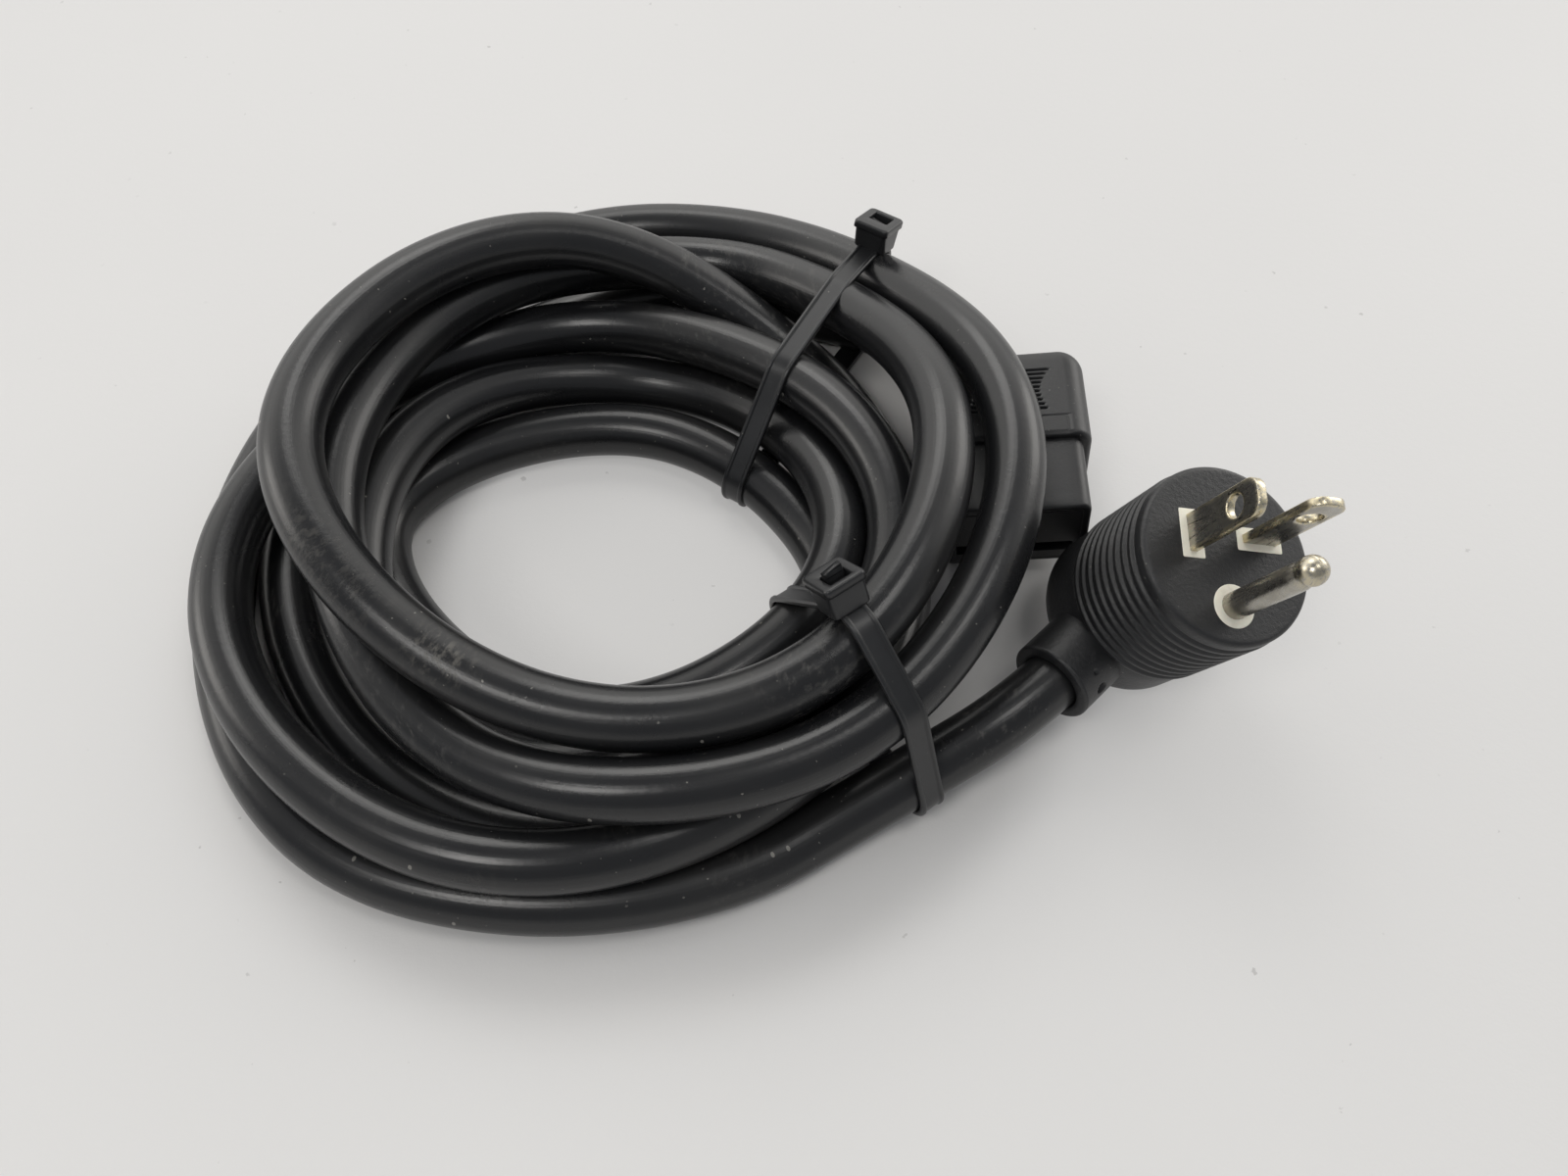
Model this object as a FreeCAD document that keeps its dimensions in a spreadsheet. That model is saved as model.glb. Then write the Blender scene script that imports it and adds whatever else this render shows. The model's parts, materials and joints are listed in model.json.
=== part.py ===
import FreeCAD, Part
import math
import os
import Sketcher

# A heavy mains power cord, coiled and tied in two places. One end has a round
# right-angle plug, the other a rectangular appliance connector. Millimetres, +Z up,
# origin on the surface it lies on, under the middle of its bounding box.

Vector = FreeCAD.Vector
UP = Vector(0, 0, 1)

# Driving dimensions

SIZES = [
    ("coil_x", -16.91, "middle of the coil"),
    ("coil_y", -7.40, "middle of the coil"),
    ("jacket_d", 10.8, "outside of the round jacket"),
    ("pressed_flat", 0.5, "how far the coil is cut flat underneath"),
    ("core_d", 3.2, "one insulated core"),
    ("core_ring_r", 2.0, "centre of a core from the middle of the jacket"),
    ("face_r", 15.6, "flange round the face of the plug"),
    ("face_narrowing", 0.5, "how much smaller the flange is at the face"),
    ("face_depth", 2.6, "depth of that flange"),
    ("barrel_r", 15.35, "barrel between the ribs"),
    ("rib_r", 0.6, "round of one rib"),
    ("rib_pitch", 2.2, "rib to rib"),
    ("base_r", 15.5, "base of the plug"),
    ("base_top", 24.0, "depth at which the base begins"),
    ("plug_depth", 37.0, "whole depth of the overmould"),
    ("base_round", 6.0, "round of its lower edge"),
    ("collar_depth", 29.0, "axis of the collar below the face"),
    ("collar_r", 7.75, "collar round the jacket"),
    ("collar_reach", 24.0, "end of the collar from the plug's axis"),
    ("jacket_end", 15.0, "end of the jacket from the plug's axis"),
    ("blade_w", 6.35, "width of a blade"),
    ("blade_t", 1.52, "thickness of a blade"),
    ("blade_out", 17.8, "blade beyond the face"),
    ("blade_in", 13.0, "blade behind the face"),
    ("blade_round", 2.4, "round of a blade's corner"),
    ("blade_hole_r", 2.0, "hole through a blade"),
    ("blade_hole_at", 12.2, "that hole from the face"),
    ("blade_x", 6.35, "blade from the middle of the plug"),
    ("blade_y", 3.0, "blades above the middle of the face"),
    ("pin_r", 2.4, "ground pin"),
    ("pin_out", 20.8, "ground pin beyond the face"),
    ("pin_tail_r", 1.9, "ground pin inside the insert"),
    ("pin_y", -8.9, "ground pin below the middle of the face"),
    ("crimp_r", 2.1, "crimp barrel"),
    ("crimp_len", 4.5, "crimp barrel"),
    ("bridge_r", 12.6, "disc of the insert"),
    ("bridge_top", 6.5, "top of that disc below the face"),
    ("bridge_t", 5.0, "thickness of that disc"),
    ("inset_w", 4.1, "short side of the insert round a blade"),
    ("inset_l", 8.5, "long side of the insert round a blade"),
    ("inset_r", 3.75, "insert round the ground pin"),
    ("housing_w", 31.0, "housing of the connector"),
    ("housing_l", 22.0, "housing, front to back"),
    ("housing_t", 21.5, "housing, bottom to top"),
    ("housing_round", 3.0, "round of its edges"),
    ("nose_w", 27.5, "nose that goes into the appliance"),
    ("nose_l", 15.5, "nose beyond the housing"),
    ("nose_t", 18.6, "nose, bottom to top"),
    ("nose_round", 2.0, "round of its edges"),
    ("grip_w", 0.5, "one grip groove"),
    ("grip_depth", 0.55, "one grip groove"),
    ("grip_pitch", 1.05, "groove to groove"),
    ("grip_start", 6.1, "first groove from the back of the housing"),
    ("grip_reach", 8.6, "half the length of the first groove"),
    ("grip_hollow", 1.6, "how much shorter the middle grooves are"),
    ("grip_narrowing", 0.12, "how much shorter each groove is than the one behind it"),
    ("boot_r", 7.6, "boot at the housing"),
    ("boot_tip_r", 6.7, "boot at its tip"),
    ("boot_l", 12.0, "boot"),
    ("core_w", 24.0, "insulating block of the connector"),
    ("core_t", 15.6, "insulating block of the connector"),
    ("core_l", 22.0, "insulating block, front to back"),
    ("slot_w", 9.0, "slot for a flat pin"),
    ("slot_t", 3.0, "slot for a flat pin"),
    ("slot_lip", 2.0, "front wall over the contacts"),
    ("contact_x", 6.5, "outer contacts from the middle"),
    ("contact_z", 4.0, "contacts above and below the middle"),
    ("contact_wall", 0.6, "sheet of a contact"),
    ("contact_l", 13.5, "contact"),
    ("strap_w", 4.7, "cable tie strap"),
    ("strap_t", 1.2, "cable tie strap"),
    ("head_l", 7.6, "cable tie head along the strap"),
    ("head_w", 7.0, "cable tie head across the strap"),
    ("head_t", 6.2, "cable tie head, height"),
    ("head_lift", 0.1, "cable tie head above the jacket"),
    ("head_round", 0.7, "round of the head's edges"),
    ("head_slot", 3.6, "slot of the head, across the strap's face"),
    ("slot_back", 0.4, "slot behind the middle of the head"),
    ("slot_side", 0.3, "slot beside the pawl"),
    ("tail_narrowing", 0.6, "each edge of the strap's cut end"),
    ("pawl_l", 2.8, "pawl along the slot"),
    ("pawl_w", 3.4, "pawl across the slot"),
    ("pawl_t", 1.1, "pawl"),
    ("pawl_gap", 0.25, "pawl from the strap's cut end"),
    ("pawl_rise", 1.5, "foot of the pawl above the jacket"),
    ("overlap", 1.0, "how far joined blocks run into one another"),
    ("cutter_out", 0.3, "how far a groove's cutter stands out of the surface"),
]
RIBS = 9
FIRST_RIB = 0.5
GRIPS = 10
SKIRT = 0.9
CORE_CLEAR = 0.7
CORE_RUN = 5.0
NEAR = 0.1

# Stations of the coil, clockwise from the front tie: bearing about the middle of the
# coil in degrees, distance from it, height of the jacket's centre line.

STATIONS = [
    (310, 69.1, 6.6), (232, 76, 5.4), (160, 78.5, 5.4), (95, 84, 9.5), (50, 74, 21.5),
    (8, 73, 32.5), (315, 64, 25.5), (256, 55.5, 22), (170, 50.5, 27), (112, 59, 22.5),
    (72, 66.5, 17), (8, 60, 35), (312, 53, 31), (256, 45, 29), (172, 55, 38.5),
    (98, 60.5, 27.5), (40, 57, 6.6), (350, 54.5, 6.6), (262, 67, 15.5), (187, 72.5, 16),
    (98, 50, 14.5), (345, 49.5, 19), (250, 48, 6.5), (170, 46.5, 16.4), (88, 41.5, 7),
    (345, 43.5, 15.5), (255, 38, 5.4), (172, 49.5, 5.4), (88, 32, 5.4), (345, 43, 5.4),
    (255, 58.5, 5.4), (172, 66.5, 5.4), (110, 61, 5.4), (74, 70.7, 5.4),
]
COIL_END_HEADING = -18.0
LEAD_RUN_IN = 14.5
LEAD_SPOTS = [(54.3, 54.1, 7.4)]
BOOT_EXIT_RUN = 6.0
MARK_STEP = 4.0
PLUG_EXIT_RUN = 8.0
GAP_WANTED = 0.75
GAP_LEAST = 0.45
HOUSING_ROOM = 1.5
NEIGHBOUR = 60.0
ARC_STEPS = 6
CORNER_SHARE = 0.45
PUSH_SHARE = 0.9
PULL_SHARE = 0.02
PULLED_ROUNDS = 80
MOST_ROUNDS = 300
TINY = 1e-6

# The cable ties: a point of the upright plane that each lies in, about the middle of
# the coil, the heading of that plane, the way the head faces in it, and how far the
# strap's cut end stands out of the head

REAR_TIE = (Vector(16.7, 7.4, 0), 58.5, 70.0, -0.7)
FRONT_TIE = (Vector(27.5, -12, 0), 305.0, 125.0, 1.2)
CROSSING_STEPS = 24

# How the two ends lie, about the middle of the coil

PLUG_FACE = Vector(103.3, -21.4, 38.4)
PLUG_LEAN = 19.9
PLUG_LEAN_HEADING = -35.8
PLUG_TURN = 1.6
COLLAR_HEADING = 222.0
CONNECTOR_AT = Vector(76.6, 13.8, 0.0)
CONNECTOR_TURN = -1.0
CONNECTOR_ROLL = -7.5
BOOT_LEFT = -2.0
BOOT_TURN = 35.0
BOOT_SUNK = 4.0
LEAD_IN = 3.0

doc = FreeCAD.newDocument("power_cord")
sheet = doc.addObject("Spreadsheet::Sheet", "sizes")
VALUE = {}
for row, (alias, number, note) in enumerate(SIZES, start=1):
    sheet.set("A%d" % row, note)
    sheet.set("B%d" % row, str(number))
    sheet.setAlias("B%d" % row, alias)
    VALUE[alias] = number
doc.recompute()

NODES = []
FAR = 300.0
SURFACE_CORNER = Vector(-FAR / 2, -FAR / 2, 0)
ABOVE = Part.makeBox(FAR, FAR, FAR, SURFACE_CORNER)
JACKET_R = VALUE["jacket_d"] / 2
MIDDLE = Vector(VALUE["coil_x"], VALUE["coil_y"], 0)


def add(kind, name, sizes, frame=None, at=(0, 0, 0), turn=None):
    """A document object, its sizes bound to the sheet, placed in a frame."""
    piece = doc.addObject(kind, name)
    for prop, formula in sizes.items():
        piece.setExpression(prop, formula)
    local = FreeCAD.Placement(Vector(*at), turn or FreeCAD.Rotation())
    piece.Placement = frame.multiply(local) if frame else local
    return piece


def fuse(name, pieces):
    whole = doc.addObject("Part::MultiFuse", name)
    whole.Shapes = pieces
    return whole


def cut(name, base, tool):
    rest = doc.addObject("Part::Cut", name)
    rest.Base = base
    rest.Tool = tool
    return rest


def feature(name, shape):
    """A plain shape as an object of the document."""
    piece = doc.addObject("Part::Feature", name)
    piece.Shape = shape
    return piece


def node(piece, label):
    """Marks an object as one physical piece, written under its label."""
    piece.Label = label
    NODES.append(piece)
    return piece


def rounded(name, base, radius, keep):
    """Rounds the edges of a base for which keep(edge) is true."""
    doc.recompute()
    piece = doc.addObject("Part::Fillet", name)
    piece.Base = base
    edges = base.Shape.Edges
    piece.Edges = [(i + 1, radius, radius) for i, edge in enumerate(edges) if keep(edge)]
    return piece


def along(edge, axis):
    """True for a straight edge that runs along an axis."""
    ends = edge.Vertexes
    if len(ends) < 2:
        return False
    run = ends[1].Point.sub(ends[0].Point)
    return run.Length > 0 and run.cross(axis).Length < TINY * run.Length


def heading(degrees):
    angle = math.radians(degrees)
    return Vector(math.cos(angle), math.sin(angle), 0)


# Route of the cord

def biarc_joint(start, leave, end, arrive):
    """Where two equal-tangent arcs from start to end meet."""
    across = end - start
    both = leave + arrive
    lean = across.dot(both)
    spread = 2 * (1 - leave.dot(arrive))
    reach = (-lean + math.sqrt(lean * lean + spread * across.dot(across))) / spread
    return (start + leave * reach + end - arrive * reach) * 0.5


def arc_terms(start, leave, end):
    """Unit side direction, radius and angle of the arc that leaves start."""
    chord = end - start
    side = chord - leave * chord.dot(leave)
    side.normalize()
    radius = chord.dot(chord) / (2 * chord.dot(side))
    angle = 2 * math.atan2(chord.dot(side), chord.dot(leave))
    return side, radius, angle


def arc_point(start, leave, terms, share):
    side, radius, angle = terms
    turned = angle * share
    return start + (leave * math.sin(turned) + side * (1 - math.cos(turned))) * radius


def headings(points, first, last):
    found = [first]
    for before, after in zip(points, points[2:]):
        step = after - before
        found.append(step.normalize())
    return found + [last]


def arcs_of(points, ways):
    """The two arcs of each biarc: start, leaving way, end, first station, and order."""
    arcs = []
    for i in range(len(points) - 1):
        joint = biarc_joint(points[i], ways[i], points[i + 1], ways[i + 1])
        arcs.append((points[i], ways[i], joint, i, True))
        arcs.append((points[i + 1], ways[i + 1] * -1, joint, i, False))
    return arcs


def sampled(points, ways):
    """Points along the biarcs, each with its stretch and its share along it."""
    found = []
    for start, leave, end, stretch, forward in arcs_of(points, ways):
        terms = arc_terms(start, leave, end)
        shares = [k / ARC_STEPS for k in range(ARC_STEPS)]
        if forward:
            part = [(arc_point(start, leave, terms, s), stretch, s / 2) for s in shares]
        else:
            shares = [1 - s for s in shares]
            part = [(arc_point(start, leave, terms, s), stretch, 1 - s / 2) for s in shares]
        found.extend(part)
    return found + [(points[-1], len(points) - 2, 1.0)]


def clear_of_ends(spot, from_start, from_end):
    """How far a point of the centre line must move to clear the leads and the housing."""
    moves = []
    for lead, covered in ((PLUG_ROUTE, from_start), (CONNECTOR_ROUTE, from_end)):
        if covered < NEIGHBOUR:
            continue
        for mark, reach in lead:
            away = spot - mark
            lack = reach + JACKET_R + GAP_WANTED - away.Length
            if lack > 0:
                moves.append(away.normalize() * lack)
    local = spot - MIDDLE - CONNECTOR_AT
    left = local.x + VALUE["housing_w"] / 2 + HOUSING_ROOM + JACKET_R + GAP_WANTED
    slope = math.tan(math.radians(-CONNECTOR_ROLL))
    top = VALUE["housing_t"] + (local.x + VALUE["housing_w"] / 2) * slope
    under = top + JACKET_R + GAP_WANTED - local.z
    beside = -VALUE["nose_l"] - JACKET_R < local.y < VALUE["housing_l"] + JACKET_R
    if beside and left > 0 and under > 0:
        moves.append(Vector(-left, 0, 0) if left < under else Vector(0, 0, under))
    return moves


def least_gap_and_pushes(points, ways):
    """Least gap between strands, and how far each station is pushed by its neighbours."""
    samples = sampled(points, ways)
    run = [0.0]
    for (a, _, _), (b, _, _) in zip(samples, samples[1:]):
        run.append(run[-1] + (b - a).Length)
    wanted = VALUE["jacket_d"] + GAP_WANTED
    spots = [(p.x, p.y, p.z) for p, _, _ in samples]
    push = [Vector() for _ in points]
    weight = [0.0] * len(points)
    least = wanted
    for i, (ax, ay, az) in enumerate(spots):
        for j in range(i + 1, len(spots)):
            bx, by, bz = spots[j]
            if abs(az - bz) > wanted or abs(ay - by) > wanted or abs(ax - bx) > wanted:
                continue
            if run[j] - run[i] < NEIGHBOUR:
                continue
            apart = math.dist(spots[i], spots[j])
            if apart >= wanted:
                continue
            least = min(least, apart)
            depth = wanted - apart
            shove = (samples[i][0] - samples[j][0]) * (depth / (2 * apart))
            for index, way in ((i, 1), (j, -1)):
                _, stretch, share = samples[index]
                for station, part in ((stretch, 1 - share), (stretch + 1, share)):
                    push[station] += shove * (way * part * depth)
                    weight[station] += part * depth
    for i, (spot, stretch, share) in enumerate(samples):
        for shove in clear_of_ends(spot, run[i], run[-1] - run[i]):
            depth = shove.Length
            least = min(least, wanted - depth)
            for station, part in ((stretch, 1 - share), (stretch + 1, share)):
                push[station] += shove * (part * depth)
                weight[station] += part * depth
    moves = [p * (PUSH_SHARE / w) if w > TINY else Vector() for p, w in zip(push, weight)]
    return least - VALUE["jacket_d"], moves


def settled(goals, first, last):
    """Stations moved until no strand presses on another, their ends held."""
    points = [Vector(goal) for goal in goals]
    for turn in range(MOST_ROUNDS):
        pulled = PULL_SHARE if turn < PULLED_ROUNDS else 0.0
        gap, moves = least_gap_and_pushes(points, headings(points, first, last))
        if gap > GAP_LEAST and not pulled:
            print("coil settled after", turn, "rounds")
            break
        for i in range(1, len(points) - 1):
            points[i] += moves[i] + (goals[i] - points[i]) * pulled
            points[i].z = max(points[i].z, JACKET_R)
    return points


def pipe(edges, radius):
    """A solid tube of one radius along edges that join in order."""
    path = Part.Wire(edges)
    start = edges[0].valueAt(edges[0].FirstParameter)
    way = edges[0].tangentAt(edges[0].FirstParameter)
    shell = Part.BRepOffsetAPI.MakePipeShell(path)
    shell.add(Part.Wire([Part.Edge(Part.Circle(start, way, radius))]))
    shell.build()
    shell.makeSolid()
    return shell.shape()


def coil_edges(points, ways):
    """Straight ends one diameter long, and the arcs between them."""
    straight = VALUE["jacket_d"]
    before = points[0] - ways[0] * straight
    after = points[-1] + ways[-1] * straight
    edges = [Part.LineSegment(before, points[0]).toShape()]
    radii = []
    for start, leave, end, _, forward in arcs_of(points, ways):
        terms = arc_terms(start, leave, end)
        middle = arc_point(start, leave, terms, 0.5)
        ends = (start, end) if forward else (end, start)
        edges.append(Part.Arc(ends[0], middle, ends[1]).toShape())
        radii.append(abs(terms[1]))
    edges.append(Part.LineSegment(points[-1], after).toShape())
    return edges, radii


def lead_edges(points):
    """Straight runs joined by tangent arcs, and the radii of those arcs."""
    edges = []
    radii = []
    reached = points[0]
    for before, corner, after in zip(points, points[1:], points[2:]):
        back = before - corner
        on = after - corner
        half_turn = (math.pi - back.getAngle(on)) / 2
        radius = CORNER_SHARE * min(back.Length, on.Length) / math.tan(half_turn)
        back.normalize()
        on.normalize()
        leave = corner + back * (radius * math.tan(half_turn))
        arrive = corner + on * (radius * math.tan(half_turn))
        inward = back + on
        inward.normalize()
        middle = corner + inward * (radius / math.cos(half_turn) - radius)
        edges.append(Part.LineSegment(reached, leave).toShape())
        edges.append(Part.Arc(leave, middle, arrive).toShape())
        radii.append(radius)
        reached = arrive
    edges.append(Part.LineSegment(reached, points[-1]).toShape())
    return edges, radii


def tube(name, points, radius):
    edges, radii = lead_edges(points)
    solid = pipe(edges, radius)
    length = sum(edge.Length for edge in edges)
    ratio = solid.Volume / (math.pi * radius * radius * length)
    solid = solid.common(ABOVE)
    print(name, "radii", [round(r, 1) for r in radii], "length", round(length, 1),
          "volume over section x length", round(ratio, 4))
    return feature(name, solid), length


# Frames of the two ends

lean = FreeCAD.Rotation(heading(PLUG_LEAN_HEADING + 90), PLUG_LEAN)
plug_frame = FreeCAD.Placement(
    MIDDLE + PLUG_FACE, lean.multiply(FreeCAD.Rotation(UP, PLUG_TURN)))
tilt = FreeCAD.Rotation(UP, CONNECTOR_TURN).multiply(
    FreeCAD.Rotation(Vector(0, 1, 0), CONNECTOR_ROLL))
rise = VALUE["housing_w"] / 2 * math.sin(math.radians(-CONNECTOR_ROLL))
connector_frame = FreeCAD.Placement(MIDDLE + CONNECTOR_AT + UP * rise, tilt)


# The free stretches at both ends, settled before the coil that keeps clear of them

collar_way = heading(COLLAR_HEADING)
collar_turn = FreeCAD.Rotation(UP, collar_way)
plug_lead_start = plug_frame.multVec(
    collar_way * VALUE["jacket_end"] - UP * VALUE["collar_depth"])
exit_corner = plug_frame.multVec(
    collar_way * (VALUE["collar_reach"] + PLUG_EXIT_RUN) - UP * VALUE["collar_depth"])
mid_z = VALUE["housing_t"] / 2
boot_base = Vector(BOOT_LEFT, VALUE["housing_l"] - BOOT_SUNK, mid_z)
boot_way = heading(90 + BOOT_TURN)
lead_in = boot_base + boot_way * LEAD_IN
boot_end = connector_frame.multVec(boot_base + boot_way * VALUE["boot_l"])
out_way = connector_frame.Rotation.multVec(boot_way)
goals = [MIDDLE + heading(bearing) * reach + UP * height
         for bearing, reach, height in STATIONS]
drop = UP * -VALUE["pressed_flat"]
first_way = (goals[0] + drop - exit_corner).normalize()
last_way = heading(COIL_END_HEADING)
coil_start = goals[0] + drop - first_way * VALUE["jacket_d"]
coil_end = goals[-1] + drop + last_way * VALUE["jacket_d"]
plug_route = [plug_lead_start, exit_corner, coil_start]
connector_route = [coil_end, coil_end + last_way * LEAD_RUN_IN] + [
    MIDDLE + Vector(*spot) for spot in LEAD_SPOTS] + [
    boot_end + out_way * BOOT_EXIT_RUN, connector_frame.multVec(lead_in)]


def marks(route, reaches):
    """Points along a route of straight runs, each with the room it takes."""
    found = []
    for k, (a, b) in enumerate(zip(route, route[1:])):
        steps = max(2, int((b - a).Length / MARK_STEP))
        found += [(a + (b - a) * (i / steps) - drop, reaches[k]) for i in range(steps + 1)]
    return found


PLUG_ROUTE = marks(plug_route, [VALUE["collar_r"], JACKET_R])
CONNECTOR_ROUTE = marks(connector_route, [JACKET_R] * (len(connector_route) - 2)
                        + [VALUE["boot_r"]])

# The coil

stations = settled(goals, first_way, last_way)
ways = headings(stations, first_way, last_way)
edges, radii = coil_edges(stations, ways)
final_gap, _ = least_gap_and_pushes(stations, ways)
coil_length = sum(edge.Length for edge in edges)
print("least gap between strands", round(final_gap, 2), "least radius",
      round(min(radii), 1), "coil length", round(coil_length))
coil_solid = pipe(edges, JACKET_R)
coil_solid.translate(drop)
print("coil volume over section x length",
      round(coil_solid.Volume / (math.pi * JACKET_R ** 2 * coil_length), 4))
node(feature("coil", coil_solid.common(ABOVE)), "cord_coil")

# The plug: overmould

flange = add("Part::Cone", "face_flange",
             {"Radius1": "sizes.face_r", "Radius2": "sizes.face_r - sizes.face_narrowing",
              "Height": "sizes.face_depth"}, plug_frame, (0, 0, -VALUE["face_depth"]))
barrel = add("Part::Cylinder", "barrel",
             {"Radius": "sizes.barrel_r", "Height": "sizes.base_top"},
             plug_frame, (0, 0, -VALUE["base_top"] - VALUE["overlap"]))
base_block = add("Part::Cylinder", "base_block",
                 {"Radius": "sizes.base_r", "Height": "sizes.plug_depth - sizes.base_top"},
                 plug_frame, (0, 0, -VALUE["plug_depth"]))
low_point = plug_frame.multVec(Vector(0, 0, -VALUE["plug_depth"]))
base = rounded("base", base_block, VALUE["base_round"],
               lambda edge: len(edge.Vertexes) == 1
               and (edge.CenterOfMass - low_point).Length < NEAR)
collar_block = add("Part::Cylinder", "collar_block",
                   {"Radius": "sizes.collar_r", "Height": "sizes.collar_reach"},
                   plug_frame, (0, 0, -VALUE["collar_depth"]), collar_turn)
collar_tip = plug_frame.multVec(
    collar_way * VALUE["collar_reach"] - UP * VALUE["collar_depth"])
collar = rounded("collar", collar_block, SKIRT,
                 lambda edge: len(edge.Vertexes) == 1
                 and (edge.CenterOfMass - collar_tip).Length < NEAR)
ribs = [add("Part::Torus", "rib_%d" % (i + 1),
            {"Radius1": "sizes.barrel_r", "Radius2": "sizes.rib_r"}, plug_frame,
            (0, 0, -VALUE["face_depth"] - VALUE["rib_pitch"] * (i + FIRST_RIB)))
        for i in range(RIBS)]
overmould = fuse("overmould", [flange, barrel, base, collar] + ribs)


# The plug: blades, pin, insert and cores

def blade(name, label, side, turn):
    """A flat blade with round corners, a hole and a crimp barrel behind it."""
    at = (side * VALUE["blade_x"], VALUE["blade_y"], 0)
    frame = plug_frame.multiply(FreeCAD.Placement(Vector(*at), FreeCAD.Rotation(UP, turn)))
    body = doc.addObject("PartDesign::Body", name + "_body")
    body.Placement = frame
    plane = [f for f in body.Origin.OriginFeatures if f.Role == "XZ_Plane"][0]
    sketch = body.newObject("Sketcher::SketchObject", name + "_outline")
    sketch.AttachmentSupport = (plane, "")
    sketch.MapMode = "FlatFace"
    half, low, high = VALUE["blade_w"] / 2, -VALUE["blade_in"], VALUE["blade_out"]
    corners = [Vector(-half, low, 0), Vector(half, low, 0),
               Vector(half, high, 0), Vector(-half, high, 0)]
    for i in range(4):
        sketch.addGeometry(Part.LineSegment(corners[i], corners[(i + 1) % 4]), False)
    for i in range(4):
        sketch.addConstraint(Sketcher.Constraint("Coincident", i, 2, (i + 1) % 4, 1))
    for i, way in enumerate(("Horizontal", "Vertical", "Horizontal", "Vertical")):
        sketch.addConstraint(Sketcher.Constraint(way, i))
    middle = sketch.addConstraint(Sketcher.Constraint("DistanceX", 0, 1, -1, 1, half))
    width = sketch.addConstraint(Sketcher.Constraint("DistanceX", 0, 1, 0, 2, 2 * half))
    depth = sketch.addConstraint(Sketcher.Constraint("DistanceY", 0, 1, -1, 1, -low))
    length = sketch.addConstraint(Sketcher.Constraint("DistanceY", 1, 1, 1, 2, high - low))
    sketch.setExpression("Constraints[%d]" % middle, "sizes.blade_w / 2")
    sketch.setExpression("Constraints[%d]" % width, "sizes.blade_w")
    sketch.setExpression("Constraints[%d]" % depth, "sizes.blade_in")
    sketch.setExpression("Constraints[%d]" % length, "sizes.blade_in + sizes.blade_out")
    pad = body.newObject("PartDesign::Pad", name + "_pad")
    pad.Profile = sketch
    pad.Midplane = True
    pad.setExpression("Length", "sizes.blade_t")
    body.Tip = pad
    doc.recompute()
    across = frame.Rotation.multVec(Vector(0, 1, 0))
    tip_z = frame.multVec(Vector(0, 0, VALUE["blade_out"]))
    shaped = rounded(name + "_tip", body, VALUE["blade_round"],
                     lambda edge: along(edge, across)
                     and abs((edge.CenterOfMass - tip_z).dot(
                         frame.Rotation.multVec(UP))) < NEAR)
    hole = add("Part::Cylinder", name + "_hole",
               {"Radius": "sizes.blade_hole_r", "Height": "sizes.blade_t * 3"}, frame,
               (0, VALUE["blade_t"] * 1.5, VALUE["blade_hole_at"]),
               FreeCAD.Rotation(Vector(1, 0, 0), 90))
    crimp = add("Part::Cylinder", name + "_crimp",
                {"Radius": "sizes.crimp_r", "Height": "sizes.crimp_len + sizes.overlap"},
                frame,
                (0, 0, -VALUE["blade_in"] - VALUE["crimp_len"]))
    return node(cut(name, fuse(name + "_blank", [shaped, crimp]), hole), label)


line_blade = blade("line", "line_blade", -1, 90)
neutral_blade = blade("neutral", "neutral_blade", 1, 0)
pin_at = (0, VALUE["pin_y"], 0)
pin_shank = add("Part::Cylinder", "pin_shank",
                {"Radius": "sizes.pin_r", "Height": "sizes.pin_out - sizes.pin_r"},
                plug_frame, pin_at)
pin_tail = add("Part::Cylinder", "pin_tail",
               {"Radius": "sizes.pin_tail_r", "Height": "sizes.blade_in + sizes.overlap"},
               plug_frame, (0, VALUE["pin_y"], -VALUE["blade_in"]))
pin_tip = add("Part::Sphere", "pin_tip", {"Radius": "sizes.pin_r"}, plug_frame,
              (0, VALUE["pin_y"], VALUE["pin_out"] - VALUE["pin_r"]))
pin_crimp = add("Part::Cylinder", "pin_crimp",
                {"Radius": "sizes.crimp_r", "Height": "sizes.crimp_len + sizes.overlap"},
                plug_frame, (0, VALUE["pin_y"], -VALUE["blade_in"] - VALUE["crimp_len"]))
ground_pin = node(fuse("ground", [pin_shank, pin_tip, pin_tail, pin_crimp]), "ground_pin")

disc_low = VALUE["bridge_top"] + VALUE["bridge_t"]
boss_low = VALUE["bridge_top"] + VALUE["overlap"]
bridge_disc = add("Part::Cylinder", "bridge_disc",
                  {"Radius": "sizes.bridge_r", "Height": "sizes.bridge_t"},
                  plug_frame, (0, 0, -disc_low))
boss_line = add("Part::Box", "boss_line",
                {"Length": "sizes.inset_w", "Width": "sizes.inset_l",
                 "Height": "sizes.bridge_top + sizes.overlap"}, plug_frame,
                (-VALUE["blade_x"] - VALUE["inset_w"] / 2,
                 VALUE["blade_y"] - VALUE["inset_l"] / 2, -boss_low))
boss_neutral = add("Part::Box", "boss_neutral",
                   {"Length": "sizes.inset_l", "Width": "sizes.inset_w",
                    "Height": "sizes.bridge_top + sizes.overlap"}, plug_frame,
                   (VALUE["blade_x"] - VALUE["inset_l"] / 2,
                    VALUE["blade_y"] - VALUE["inset_w"] / 2, -boss_low))
boss_ground = add("Part::Cylinder", "boss_ground",
                  {"Radius": "sizes.inset_r", "Height": "sizes.bridge_top + sizes.overlap"},
                  plug_frame, (0, VALUE["pin_y"], -boss_low))
bridge_block = fuse("bridge_block", [bridge_disc, boss_line, boss_neutral, boss_ground])
metal = fuse("plug_metal", [line_blade, neutral_blade, ground_pin])
node(cut("bridge", bridge_block, metal), "plug_bridge")


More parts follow.
